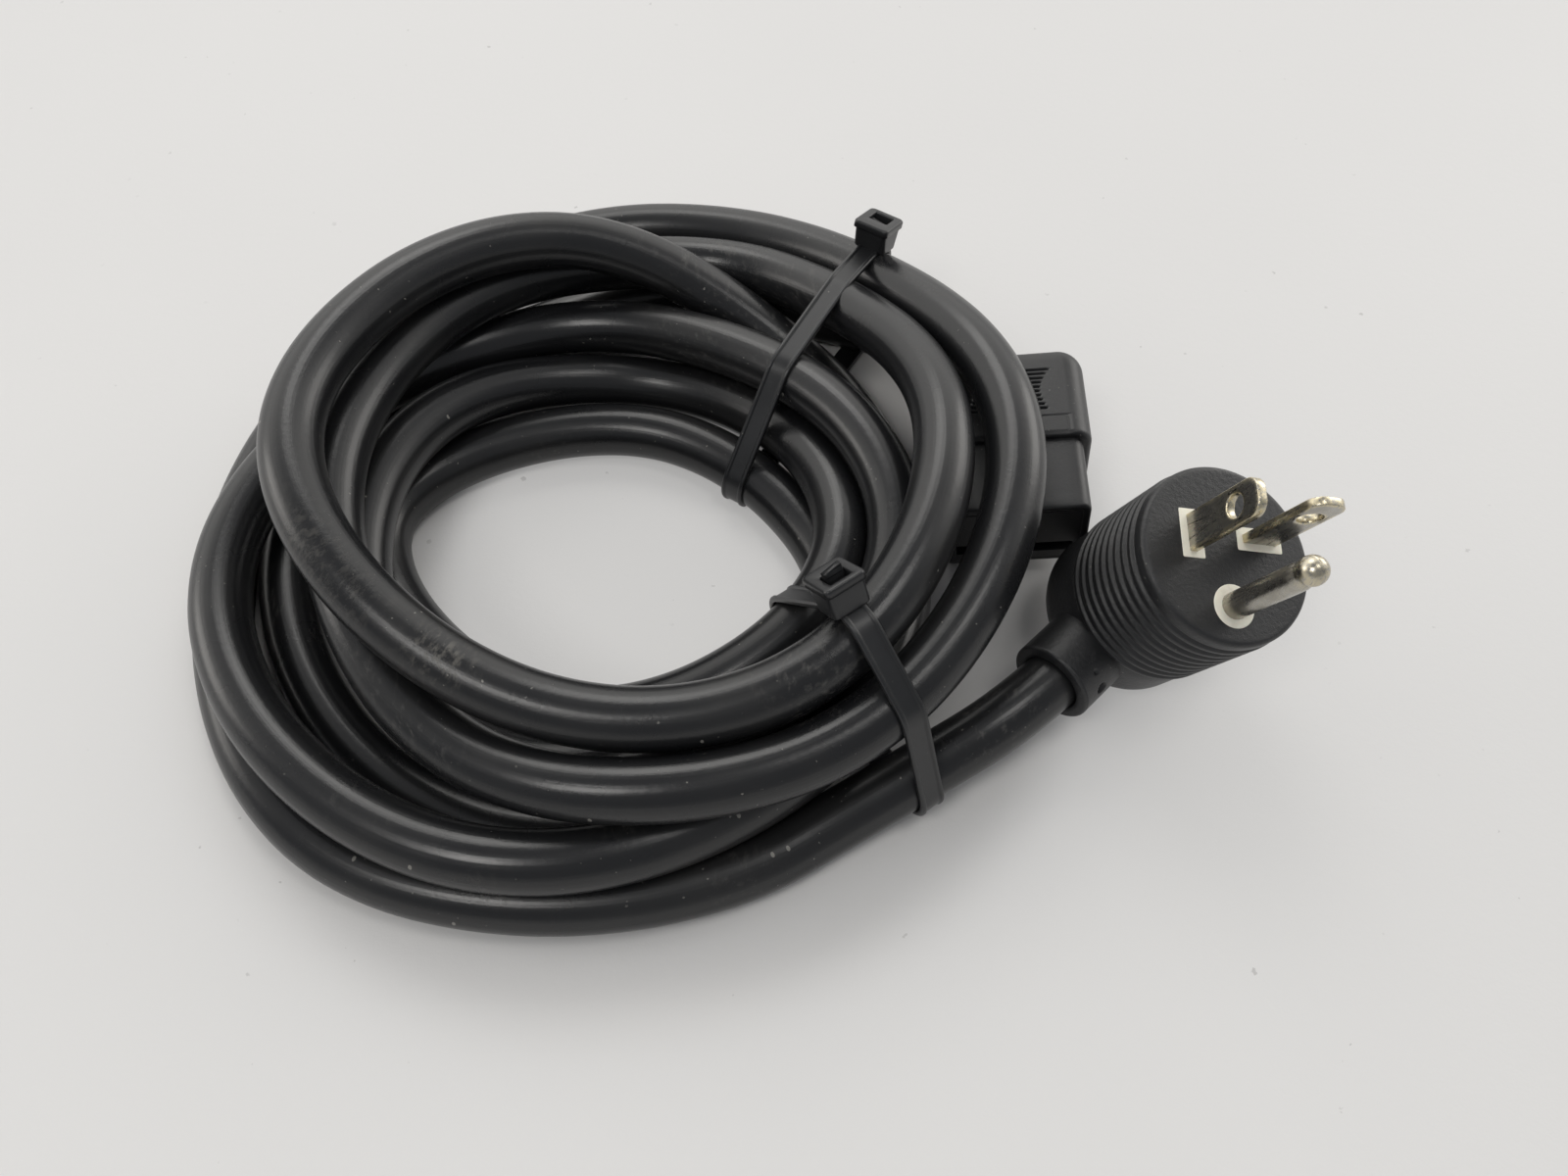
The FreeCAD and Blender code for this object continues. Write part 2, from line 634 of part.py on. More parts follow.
def core_spot(turned):
    """Centre of a core at a turn about the middle of the jacket: aside and up."""
    spot = heading(turned) * VALUE["core_ring_r"]
    return spot.x, spot.y


def plug_core(name, label, spot, target):
    """A core from the end of the jacket to a crimp barrel."""
    aside = UP.cross(collar_way)
    start = collar_way * (VALUE["jacket_end"] - CORE_CLEAR) + aside * spot[0]
    start += UP * (spot[1] - VALUE["collar_depth"])
    end = Vector(target[0], target[1], -VALUE["blade_in"] - VALUE["crimp_len"])
    corner = Vector(end.x, end.y, start.z)
    points = [plug_frame.multVec(p) for p in (start, corner, end)]
    piece, _ = tube(name, points, VALUE["core_d"] / 2)
    return node(piece, label)


middle_spot, left_spot, right_spot = core_spot(90), core_spot(210), core_spot(330)
plug_cores = [
    plug_core("plug_core_1", "plug_line_wire", left_spot,
              (-VALUE["blade_x"], VALUE["blade_y"])),
    plug_core("plug_core_2", "plug_neutral_wire", middle_spot,
              (VALUE["blade_x"], VALUE["blade_y"])),
    plug_core("plug_core_3", "plug_ground_wire", right_spot, (0, VALUE["pin_y"])),
]

# The free stretch of the cord into the plug

plug_lead_piece, plug_lead_length = tube("free_plug", plug_route, JACKET_R)
plug_lead = node(plug_lead_piece, "plug_lead")
inner = fuse("plug_inner", [bridge_block, metal, plug_lead] + plug_cores)
node(cut("plug_shell", overmould, inner), "plug_body")

# The connector: overmould

half_w = VALUE["housing_w"] / 2
housing_block = add("Part::Box", "housing_block",
                    {"Length": "sizes.housing_w", "Width": "sizes.housing_l",
                     "Height": "sizes.housing_t"}, connector_frame, (-half_w, 0, 0))
housing = rounded("housing", housing_block, VALUE["housing_round"],
                  lambda edge: not along(edge, connector_frame.Rotation.multVec(
                      Vector(1, 0, 0))) or (connector_frame.inverse().multVec(
                          edge.CenterOfMass)).y > VALUE["overlap"])
nose_low = (VALUE["housing_t"] - VALUE["nose_t"]) / 2
nose_block = add("Part::Box", "nose_block",
                 {"Length": "sizes.nose_w", "Width": "sizes.nose_l + 2 * sizes.overlap",
                  "Height": "sizes.nose_t"}, connector_frame,
                 (-VALUE["nose_w"] / 2, -VALUE["nose_l"], nose_low))
nose = rounded("nose", nose_block, VALUE["nose_round"],
               lambda edge: not along(edge, connector_frame.Rotation.multVec(
                   Vector(1, 0, 0))))
boot = add("Part::Cone", "boot",
           {"Radius1": "sizes.boot_r", "Radius2": "sizes.boot_tip_r",
            "Height": "sizes.boot_l"}, connector_frame, tuple(boot_base),
           FreeCAD.Rotation(UP, boot_way))
connector_block = fuse("connector_block", [housing, nose, boot])
grips = []
for i in range(GRIPS):
    shorter = VALUE["grip_hollow"] * math.sin(math.pi * i / (GRIPS - 1))
    reach = VALUE["grip_reach"] - shorter - VALUE["grip_narrowing"] * i
    at_y = VALUE["housing_l"] - VALUE["grip_start"] - i * VALUE["grip_pitch"]
    for side, low in (("top", VALUE["housing_t"] - VALUE["grip_depth"]),
                      ("under", -VALUE["cutter_out"])):
        groove = add("Part::Box", "grip_%s_%d" % (side, i + 1),
                     {"Width": "sizes.grip_w",
                      "Height": "sizes.grip_depth + sizes.cutter_out"},
                     connector_frame, (-reach, at_y, low))
        groove.Length = 2 * reach
        grips.append(groove)

# The connector: block, contacts and cores

core_low = mid_z - VALUE["core_t"] / 2
front_y = -VALUE["nose_l"]
core_block = add("Part::Box", "core_block",
                 {"Length": "sizes.core_w", "Width": "sizes.core_l",
                  "Height": "sizes.core_t"}, connector_frame,
                 (-VALUE["core_w"] / 2, front_y, core_low))
contact_spots = [
    ("line", (VALUE["contact_x"], mid_z - VALUE["contact_z"])),
    ("neutral", (-VALUE["contact_x"], mid_z - VALUE["contact_z"])),
    ("ground", (0, mid_z + VALUE["contact_z"])),
]
back_y = front_y + VALUE["core_l"]
slots = []
contacts = []
contact_blocks = []
for name, (x, z) in contact_spots:
    slots.append(add("Part::Box", name + "_slot",
                     {"Length": "sizes.slot_w", "Width": "sizes.slot_lip + sizes.overlap",
                      "Height": "sizes.slot_t"}, connector_frame,
                     (x - VALUE["slot_w"] / 2, front_y - VALUE["overlap"],
                      z - VALUE["slot_t"] / 2)))
    sleeve = add("Part::Box", name + "_sleeve",
                 {"Length": "sizes.slot_w + 2 * sizes.contact_wall",
                  "Width": "sizes.contact_l",
                  "Height": "sizes.slot_t + 2 * sizes.contact_wall"}, connector_frame,
                 (x - VALUE["slot_w"] / 2 - VALUE["contact_wall"],
                  front_y + VALUE["slot_lip"],
                  z - VALUE["slot_t"] / 2 - VALUE["contact_wall"]))
    hollow = add("Part::Box", name + "_hollow",
                 {"Length": "sizes.slot_w", "Width": "sizes.contact_l - sizes.overlap",
                  "Height": "sizes.slot_t"}, connector_frame,
                 (x - VALUE["slot_w"] / 2, front_y + VALUE["slot_lip"],
                  z - VALUE["slot_t"] / 2))
    tail_y = front_y + VALUE["slot_lip"] + VALUE["contact_l"] - VALUE["overlap"] / 2
    tail = add("Part::Cylinder", name + "_tail", {"Radius": "sizes.crimp_r"},
               connector_frame, (x, tail_y, z), FreeCAD.Rotation(Vector(1, 0, 0), -90))
    tail.Height = back_y - tail_y
    block = fuse(name + "_contact_block", [sleeve, tail])
    contact_blocks.append(block)
    contacts.append(node(cut(name + "_contact", block, hollow), name + "_contact"))
node(cut("core", core_block, fuse("core_hollows", slots + contact_blocks)),
     "connector_core")

connector_cores = []
for (name, (x, z)), spot in zip(contact_spots, (left_spot, right_spot, middle_spot)):
    aside = boot_way.cross(UP)
    start = lead_in + aside * spot[0] * -1 + UP * spot[1]
    end = Vector(x, back_y, z)
    bend = start - boot_way * CORE_RUN
    behind = Vector(x, back_y + CORE_RUN, z)
    points = [connector_frame.multVec(p) for p in (start, bend, behind, end)]
    piece, _ = tube("connector_core_" + name, points, VALUE["core_d"] / 2)
    connector_cores.append(node(piece, "connector_%s_wire" % name))

# The free stretch of the cord into the connector

connector_lead_piece, connector_lead_length = tube(
    "free_connector", connector_route, JACKET_R)
connector_lead = node(connector_lead_piece, "connector_lead")
filling = fuse("connector_filling", [core_block, connector_lead] + connector_cores + grips)
node(cut("connector_shell", connector_block, filling), "connector_body")
print("cord length", round(coil_length + plug_lead_length + connector_lead_length))


# The cable ties

def crossings(middle, bearing):
    """Where the strands cross an upright plane on one side of its middle."""
    out = heading(bearing)
    side = UP.cross(out)
    found = []
    lead_runs = lead_edges(plug_route)[0] + lead_edges(connector_route)[0]
    for edge, lower in [(e, drop.z) for e in edges] + [(e, 0) for e in lead_runs]:
        step = (edge.LastParameter - edge.FirstParameter) / CROSSING_STEPS
        spots = [edge.valueAt(edge.FirstParameter + step * k) - middle
                 for k in range(CROSSING_STEPS + 1)]
        for a, b in zip(spots, spots[1:]):
            if a.dot(out) > 0 and a.dot(side) * b.dot(side) <= 0 and a != b:
                share = a.dot(side) / (a.dot(side) - b.dot(side))
                spot = a + (b - a) * share
                found.append((spot.dot(out), spot.z + lower))
    return found


def hull(spots):
    """Convex outline of points, counterclockwise."""
    spots = sorted(set(spots))

    def half(order):
        line = []
        for p in order:
            while len(line) > 1 and ((line[-1][0] - line[-2][0]) * (p[1] - line[-2][1])
                                     - (line[-1][1] - line[-2][1])
                                     * (p[0] - line[-2][0])) <= 0:
                line.pop()
            line.append(p)
        return line[:-1]

    return half(spots) + half(spots[::-1])


def band(outline, radius, frame, width):
    """A slab: the outline grown by a radius, its corners round."""
    edges_found = []
    count = len(outline)
    for i, (x, z) in enumerate(outline):
        nx, nz = outline[(i + 1) % count]
        px, pz = outline[i - 1]
        out_angle = math.atan2(-(nx - x), nz - z)
        in_angle = math.atan2(-(x - px), z - pz)
        turn = (out_angle - in_angle) % (2 * math.pi)
        ring = [Vector(x + radius * math.cos(in_angle + turn * k / 2), 0,
                       z + radius * math.sin(in_angle + turn * k / 2)) for k in range(3)]
        edges_found.append(Part.Arc(*ring).toShape())
        ahead = Vector(nx + radius * math.cos(out_angle), 0, nz + radius * math.sin(out_angle))
        edges_found.append(Part.LineSegment(ring[2], ahead).toShape())
    face = Part.Face(Part.Wire(edges_found))
    slab = face.extrude(Vector(0, width, 0))
    slab.translate(Vector(0, -width / 2, 0))
    slab.Placement = frame.multiply(slab.Placement)
    return slab


def cable_tie(name, plane):
    """A strap drawn round the strands, its head, and the pawl inside the head."""
    aside, bearing, facing, tail_out = plane
    frame = FreeCAD.Placement(MIDDLE + aside, FreeCAD.Rotation(UP, bearing))
    outline = hull(crossings(MIDDLE + aside, bearing))
    width, thick = VALUE["strap_w"], VALUE["strap_t"]
    inside = Part.makeBox(FAR, FAR, FAR, SURFACE_CORNER + UP * thick)
    outer = band(outline, JACKET_R + thick, frame, width).common(ABOVE)
    hollow = band(outline, JACKET_R, frame, width + 2 * VALUE["overlap"])
    strap = outer.cut(hollow.common(inside))
    angle = math.radians(facing)
    out = Vector(math.cos(angle), 0, math.sin(angle))
    corner = max(outline, key=lambda p: p[0] * out.x + p[1] * out.z)
    spot = Vector(corner[0], 0, corner[1]) + out * JACKET_R
    seat = frame.multiply(FreeCAD.Placement(
        spot, FreeCAD.Rotation(Vector(0, 1, 0), 90 - facing)))
    long, wide, tall = VALUE["head_l"], VALUE["head_w"], VALUE["head_t"]
    back = -VALUE["slot_back"]
    head = Part.makeBox(long, wide, tall, Vector(-long / 2, -wide / 2, VALUE["head_lift"]))
    head = head.makeFillet(VALUE["head_round"], head.Edges)
    room = VALUE["pawl_w"] + 2 * VALUE["slot_side"]
    slot = Part.makeBox(VALUE["head_slot"], room, tall + 2 * VALUE["overlap"],
                        Vector(back, -room / 2, -VALUE["overlap"]))
    tail_w = width - 2 * VALUE["tail_narrowing"]
    tail = Part.makeBox(thick, tail_w, tall + tail_out,
                        Vector(back, -tail_w / 2, VALUE["head_lift"] / 2))
    head = head.cut(slot).fuse(tail)
    head.Placement = seat
    node(feature(name, strap.fuse(head).removeSplitter()), name + "_tie")
    pawl_x = back + thick + VALUE["pawl_gap"]
    pawl = Part.makeBox(VALUE["pawl_t"], VALUE["pawl_w"], VALUE["pawl_l"],
                        Vector(pawl_x, -VALUE["pawl_w"] / 2, VALUE["pawl_rise"]))
    pawl.Placement = seat
    node(feature(name + "_tongue", pawl), name + "_pawl")
    hinge = seat.multVec(Vector(pawl_x + VALUE["pawl_t"] / 2, 0, VALUE["pawl_rise"]))
    axis = seat.Rotation.multVec(Vector(0, 1, 0))
    print(name, "pawl hinge", [round(c / 1000, 6) for c in hinge], "axis",
          [round(c, 6) for c in axis])
    print(name, "tie outline", [(round(x, 1), round(z, 1)) for x, z in outline],
          "seat", [round(c, 2) for c in seat.Base])


cable_tie("rear", REAR_TIE)
cable_tie("front", FRONT_TIE)

# Every object and every piece is checked, then each piece is written under its label

doc.recompute()
for piece in doc.Objects:
    if {"Invalid", "Error"} & set(piece.State):
        raise RuntimeError("%s is in state %s" % (piece.Name, piece.State))
whole = FreeCAD.BoundBox()
for piece in NODES:
    shape = piece.Shape
    if shape.isNull() or not shape.isValid():
        raise RuntimeError("%s has no valid shape" % piece.Label)
    if len(shape.Solids) != 1:
        raise RuntimeError("%s has %d solids" % (piece.Label, len(shape.Solids)))
    whole.add(shape.optimalBoundingBox(False, False))
    print(piece.Label, shape.optimalBoundingBox(False, False))


def blade_middle(side):
    return Vector(side * VALUE["blade_x"], VALUE["blade_y"], VALUE["blade_out"] / 2)


for name, spot, frame in (
        ("plug face", Vector(), plug_frame),
        ("ground pin", Vector(0, VALUE["pin_y"], VALUE["pin_out"] / 2), plug_frame),
        ("line blade", blade_middle(-1), plug_frame),
        ("neutral blade", blade_middle(1), plug_frame),
        ("nose face", Vector(0, -VALUE["nose_l"], mid_z), connector_frame)):
    print(name, [round(c / 1000, 6) for c in frame.multVec(spot)],
          [round(c, 6) for c in frame.Rotation.multVec(UP)],
          [round(c, 6) for c in frame.Rotation.multVec(Vector(0, -1, 0))])
print("bounds", whole)
os.makedirs("parts", exist_ok=True)
for piece in NODES:
    piece.Shape.exportStep("parts/%s.step" % piece.Label)
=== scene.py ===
import json
import math

import bpy
import numpy as np
from mathutils import Matrix, Vector


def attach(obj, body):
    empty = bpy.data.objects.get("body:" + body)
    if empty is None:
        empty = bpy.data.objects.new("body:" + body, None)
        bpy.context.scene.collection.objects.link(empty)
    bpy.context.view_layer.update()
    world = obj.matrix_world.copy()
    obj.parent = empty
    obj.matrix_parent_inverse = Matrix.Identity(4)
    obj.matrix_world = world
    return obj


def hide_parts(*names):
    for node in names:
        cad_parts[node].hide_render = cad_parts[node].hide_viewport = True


bl_info = {
    "name": "Coiled Mains Cord",
    "version": (1, 0, 0),
    "blender": (4, 5, 0),
    "location": "3D View > Sidebar > Mains Cord",
    "description": "A heavy mains cord in a tied coil, with a round plug and a connector",
    "category": "Add Mesh",
}

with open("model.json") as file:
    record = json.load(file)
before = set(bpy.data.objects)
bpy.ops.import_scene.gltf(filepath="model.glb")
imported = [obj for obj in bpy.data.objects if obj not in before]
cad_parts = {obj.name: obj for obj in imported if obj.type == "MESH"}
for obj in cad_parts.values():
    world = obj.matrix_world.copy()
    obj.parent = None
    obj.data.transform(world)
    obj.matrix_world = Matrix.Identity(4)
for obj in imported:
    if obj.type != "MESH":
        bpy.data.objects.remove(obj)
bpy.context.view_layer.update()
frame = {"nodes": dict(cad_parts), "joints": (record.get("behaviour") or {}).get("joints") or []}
UP = np.array([0.0, 0.0, 1.0])

# Places shared with the solids, in metres and degrees

MIDDLE = np.array([-0.01691, -0.0074, 0.0])
STATIONS = [
    (310, .0691, .0066), (232, .076, .0054), (160, .0785, .0054), (95, .084, .0095),
    (50, .074, .0215), (8, .073, .0325), (315, .064, .0255), (256, .0555, .022),
    (170, .0505, .027), (112, .059, .0225), (72, .0665, .017), (8, .060, .035),
    (312, .053, .031), (256, .045, .029), (172, .055, .0385), (98, .0605, .0275),
    (40, .057, .0066), (350, .0545, .0066), (262, .067, .0155), (187, .0725, .016),
    (98, .050, .0145), (345, .0495, .019), (250, .048, .0065), (170, .0465, .0164),
    (88, .0415, .007), (345, .0435, .0155), (255, .038, .0054), (172, .0495, .0054),
    (88, .032, .0054), (345, .043, .0054), (255, .0585, .0054), (172, .0665, .0054),
    (110, .061, .0054), (74, .0707, .0054),
]
PRESSED_FLAT = 0.0005
COIL_END_HEADING = -18.0
LEAD_RUN_IN = 0.0145
LEAD_SPOT = (0.0543, 0.0541, 0.0074)
JACKET_RADIUS = 0.0054
PLUG_AT = (0.1033, -0.0214, 0.0384)
CONNECTOR_AT = (0.0766, 0.0138, 0.0)
CONNECTOR_ROLL = 7.5
HOUSING_HALF = 0.0155
HOUSING_HEIGHT = 0.0215
HOUSING_LENGTH = 0.022
NOSE_LENGTH = 0.0155
SIDE_CLEARANCE = 0.0015

# The cable ties: a point of the upright plane that each lies in, about the middle of the
# coil, the heading of that plane, the way the head faces in it, and the length of the
# strap's cut end from the head's foot

TIES = {
    "rear": ((0.0167, 0.0074, 0.0), 58.5, 70.0, 0.0055),
    "front": ((0.0275, -0.012, 0.0), 305.0, 125.0, 0.0074),
}
PAWL_FROM_SEAT = (0.0016, 0.0, 0.0015)

# Places where the jacket is rubbed: bearing and distance about the middle of the coil,
# height of the strand, half the length of the place

RUBBED = [
    (207, .0545, .042, .007), (219, .0525, .043, .008), (231, .0508, .042, .006),
    (256, .068, .009, .004), (240, .046, .034, .005), (222, .057, .026, .003),
    (275, .057, .014, .004),
]

# Numbers that shape the meshes

POINT_SPACING = 0.015
CONTACT_STEPS = 6
SETTLING_ROUNDS = 140
PULLED_ROUNDS = 80
STRAND_GAP = 0.0004
NEIGHBOUR = 0.060
RING_SPACING = 0.0016
JACKET_SIDES = 36
RIBS = 9
GRIPS = 10


def turned(axis, degrees):
    """Rotation matrix about an axis."""
    return np.array(Matrix.Rotation(math.radians(degrees), 3, Vector(axis)))


def heading(degrees):
    """Level unit vector at a bearing: cosine, sine, nought."""
    return np.array([math.cos(math.radians(degrees)), math.sin(math.radians(degrees)), 0.0])


def unit(vectors):
    """Rows of vectors at length one."""
    return vectors / np.linalg.norm(vectors, axis=1)[:, None]


def lengths(line):
    """The length along a line at each of its points."""
    return np.concatenate([[0], np.cumsum(np.linalg.norm(np.diff(line, axis=0), axis=1))])


def between(line, run, at):
    """Points of a line at lengths along it."""
    return np.column_stack([np.interp(at, run, line[:, k]) for k in range(line.shape[1])])


def level(ring, height):
    """A flat ring at a height, or at a height for each point."""
    return np.column_stack([ring, np.broadcast_to(height, len(ring))])


def upright(ring, y, lift=0.0):
    """A ring stood up across the second direction, its second part lifted."""
    return np.column_stack([ring[:, 0], np.full(len(ring), y), ring[:, 1] + lift])


def placed(points, place):
    """Local points carried into the row frame: origin plus matrix times point."""
    origin, matrix = place
    return origin + np.asarray(points) @ matrix.T


PLUG = (MIDDLE + PLUG_AT,
        turned(heading(-35.8 + 90), 19.9) @ turned(UP, 1.6))
CONNECTOR = (MIDDLE + CONNECTOR_AT + UP * HOUSING_HALF * math.sin(math.radians(CONNECTOR_ROLL)),
             turned(UP, -1) @ turned((0, 1, 0), -CONNECTOR_ROLL))
COLLAR_WAY = heading(222)
COLLAR_REACH = 0.024
COLLAR_DROP = UP * 0.029
BLADE_ASIDE = 0.00635
BLADE_BACK = 0.003
PIN_FRONT = 0.0089
PLUG_RADIUS = 0.0155
INSERT_DEPTH = 0.0065
BOOT_WAY = heading(125)
BOOT_BASE = np.array([-0.002, 0.018, 0.01075])


# Meshes

def signed_volume(points, faces):
    """Sum over the faces, as fans of triangles, of a sixth of a dot (b cross c)."""
    a, b, c = (points[faces[:, k]] for k in range(3))
    d = points[faces[:, -1]]
    first = np.einsum("ij,ij->i", a, np.cross(b, c))
    second = np.einsum("ij,ij->i", a, np.cross(c, d))
    return (first + second).sum() / 6


def skin(points, closed=False):
    """A closed surface from a grid whose second direction is a ring.

    Where closed is true, the first direction is a ring as well. Otherwise each end is
    shut by a fan to the mean of its ring. The faces are turned to point outwards."""
    rows, sides = points.shape[:2]
    vertices = points.reshape(-1, 3)
    here = np.arange(rows if closed else rows - 1)[:, None] * sides
    there = (here + sides) % (rows * sides)
    j = np.arange(sides)
    after = (j + 1) % sides
    faces = np.stack([here + j, here + after, there + after, there + j], -1).reshape(-1, 4)
    if not closed:
        vertices = np.concatenate([vertices, [points[0].mean(0), points[-1].mean(0)]])
        first = np.full(sides, rows * sides)
        last = (rows - 1) * sides
        faces = np.concatenate([faces, np.stack([first, after, j, j], -1), np.stack(
            [first + 1, last + j, last + after, last + after], -1)])
    if signed_volume(vertices, faces) < 0:
        faces = faces[:, ::-1]
    return vertices, faces


def added(name, data):
    """A new object in the scene."""
    obj = bpy.data.objects.new(name, data)
    bpy.context.scene.collection.objects.link(obj)
    return obj


def piece(name, skins, material, body="cord", replaced=(), rub=None):
    """An object at the origin made of closed skins, on its body, for its CAD nodes."""
    vertices = np.concatenate([v for v, _ in skins])
    starts = np.cumsum([0] + [len(v) for v, _ in skins])
    faces = np.concatenate([f + s for (_, f), s in zip(skins, starts)])
    rows = [row[:3] if row[2] == row[3] else row[1:] if row[0] == row[1] else row
            for row in faces.tolist()]
    mesh = bpy.data.meshes.new(name)
    mesh.from_pydata(vertices, [], rows)
    mesh.shade_smooth()
    if rub is not None:
        store = mesh.attributes.new("rub", "FLOAT", "POINT")
        store.data.foreach_set("value", rub.astype(np.float32))
    mesh.materials.append(material)
    obj = added(name, mesh)
    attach(obj, body)
    if replaced:
        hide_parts(*replaced)
    return obj


def quarter(start, end, steps=6):
    """Angles of a round edge in radians, evenly spaced."""
    return np.radians(np.linspace(start, end, steps + 1))


def around(sides):
    """Angles of a full turn in radians, evenly spaced."""
    return np.linspace(0, 2 * np.pi, sides, endpoint=False)


def arc(angles, radius, across=0.0, up=0.0):
    """Points on a circle: centre plus radius times cosine and sine."""
    return np.column_stack([across + radius * np.cos(angles), up + radius * np.sin(angles)])


def bowl(away, power=2):
    """One in the middle, falling to nought at a distance of one: one minus its power."""
    return np.clip(1 - away ** power, 0, 1)


def set_in(past, radius):
    """How far a round end is set in: radius less the root of radius squared less past
    squared."""
    past = np.clip(past, 0, None)
    return radius - np.sqrt(np.clip(radius ** 2 - past ** 2, 0, None))


def rounded_outline(half_x, half_y, radius, corner_steps=8, side_steps=6):
    """Closed outline of a rectangle with round corners, counterclockwise.

    Each corner is a quarter circle about a centre set in by the radius, and each side
    is divided evenly."""
    corner = arc(quarter(0, 90, corner_steps), radius)
    parts = []
    for sx, sy, quarter_turn in ((1, 1, 0), (-1, 1, 1), (-1, -1, 2), (1, -1, 3)):
        spin = np.linalg.matrix_power(np.array([[0, -1], [1, 0]]), quarter_turn)
        parts.append(corner @ spin.T + [sx * (half_x - radius), sy * (half_y - radius)])
    runs = []
    share = np.linspace(0, 1, side_steps, endpoint=False)[1:, None]
    for part, after in zip(parts, parts[1:] + parts[:1]):
        runs += [part, part[-1] + (after[0] - part[-1]) * share]
    return np.concatenate(runs)


def soft_block(half_x, half_y, low, high, corner, edge):
    """A block standing on a round-cornered outline, its two rims rounded.

    Towards each rim the outline shrinks by edge times one minus the cosine while the
    height runs on by edge times the sine."""
    turns = quarter(0, 90)
    inset = edge * (1 - np.cos(turns))
    rise = edge * np.sin(turns)
    flat = min(half_x, half_y) * 0.3
    insets = np.concatenate([[edge + flat], inset[::-1], inset, [edge + flat]])
    heights = np.concatenate([[low], low + edge - rise[::-1], high - edge + rise, [high]])
    return np.array([level(rounded_outline(half_x - back, half_y - back,
                                           max(corner - back, 0.1 * edge)), height)
                     for back, height in zip(insets, heights)])


# The cord's own line

def spline_through(knots, spacing):
    """Points at even spacing on the natural cubic spline through the knots.

    The curve's second derivatives come from one linear system over the lengths between
    knots, with no bend at either end."""
    run = lengths(knots)
    gaps = np.diff(run)
    count = len(knots)
    system = np.eye(count)
    right = np.zeros((count, 3))
    inner = np.arange(1, count - 1)
    system[inner, inner - 1] = gaps[:-1]
    system[inner, inner] = 2 * (gaps[:-1] + gaps[1:])
    system[inner, inner + 1] = gaps[1:]
    slopes = np.diff(knots, axis=0) / gaps[:, None]
    right[1:-1] = 6 * np.diff(slopes, axis=0)
    bends = np.linalg.solve(system, right)
    at = np.linspace(0, run[-1], int(run[-1] / spacing) + 1)
    i = np.clip(np.searchsorted(run, at, side="right") - 1, 0, count - 2)
    gap = gaps[i][:, None]
    after = (at - run[i])[:, None] / gap
    before = 1 - after
    return (before * knots[i] + after * knots[i + 1]
            + gap ** 2 / 6 * ((before ** 3 - before) * bends[i]
                              + (after ** 3 - after) * bends[i + 1]))


def spline_weights(count):
    """Matrix from control points to points on their quadratic spline.

    On each stretch at share t the three weights are (1 - t)^2 / 2, 1/2 + t (1 - t) and
    t^2 / 2."""
    stretch = np.repeat(np.arange(count - 2), CONTACT_STEPS)
    t = np.tile(np.arange(CONTACT_STEPS) / CONTACT_STEPS, count - 2)
    weights = np.zeros((len(t), count))
    row = np.arange(len(t))
    weights[row, stretch] = (1 - t) ** 2 / 2
    weights[row, stretch + 1] = 0.5 + t * (1 - t)
    weights[row, stretch + 2] = t ** 2 / 2
    return weights


def clear_of_housing(spots, radius):
    """How far points of the line must move to lie beside or above the connector."""
    local = spots - MIDDLE - CONNECTOR_AT
    inward = local[:, 0] + HOUSING_HALF + SIDE_CLEARANCE + radius
    slope = math.tan(math.radians(CONNECTOR_ROLL))
    top = HOUSING_HEIGHT + (local[:, 0] + HOUSING_HALF) * slope
    under = top + radius + STRAND_GAP - local[:, 2]
    beside = (local[:, 1] > -NOSE_LENGTH - radius) & (local[:, 1] < HOUSING_LENGTH + radius)
    hit = beside & (inward > 0) & (under > 0)
    aside = hit & (inward < under)
    push = np.zeros_like(spots)
    push[aside, 0] = -inward[aside]
    push[hit & ~aside, 2] = under[hit & ~aside]
    return push


def settled(points, free, diameter):
    """Control points of the cord moved until its strands lie on each other.

    Every pair of points on the spline that are nearer than a diameter and far apart
    along it push each other off by what is lacking, weighted by depth, and the control
    points take their share through the spline's weights."""
    goals = points.copy()
    weights = spline_weights(len(points))
    wanted = diameter + STRAND_GAP
    lowest = diameter / 2 - PRESSED_FLAT
    for turn in range(SETTLING_ROUNDS):
        spots = weights @ points
        run = lengths(spots)
        apart = spots[:, None] - spots[None]
        distance = np.sqrt((apart ** 2).sum(-1)) + 1e-9
        touching = (distance < wanted) & (np.abs(run[:, None] - run[None]) > NEIGHBOUR)
        depth = np.where(touching, wanted - distance, 0)
        shove = np.einsum("ij,ijk->ik", depth ** 2 / distance / 2, apart)
        pressed = depth.sum(1)
        off = clear_of_housing(spots, diameter / 2)
        reach = np.linalg.norm(off, axis=1)
        shove += off * reach[:, None]
        pressed = pressed + reach
        share = weights.T @ pressed
        moves = np.where(share[:, None] > 1e-7, weights.T @ shove / (share[:, None] + 1e-12), 0)
        moves[1:-1] = (moves[:-2] + 2 * moves[1:-1] + moves[2:]) / 4
        pull = 0.03 if turn < PULLED_ROUNDS else 0.0
        points[free] += 1.2 * moves[free] + pull * (goals - points)[free]
        points[free, 2] = np.maximum(points[free, 2], lowest)
    return points


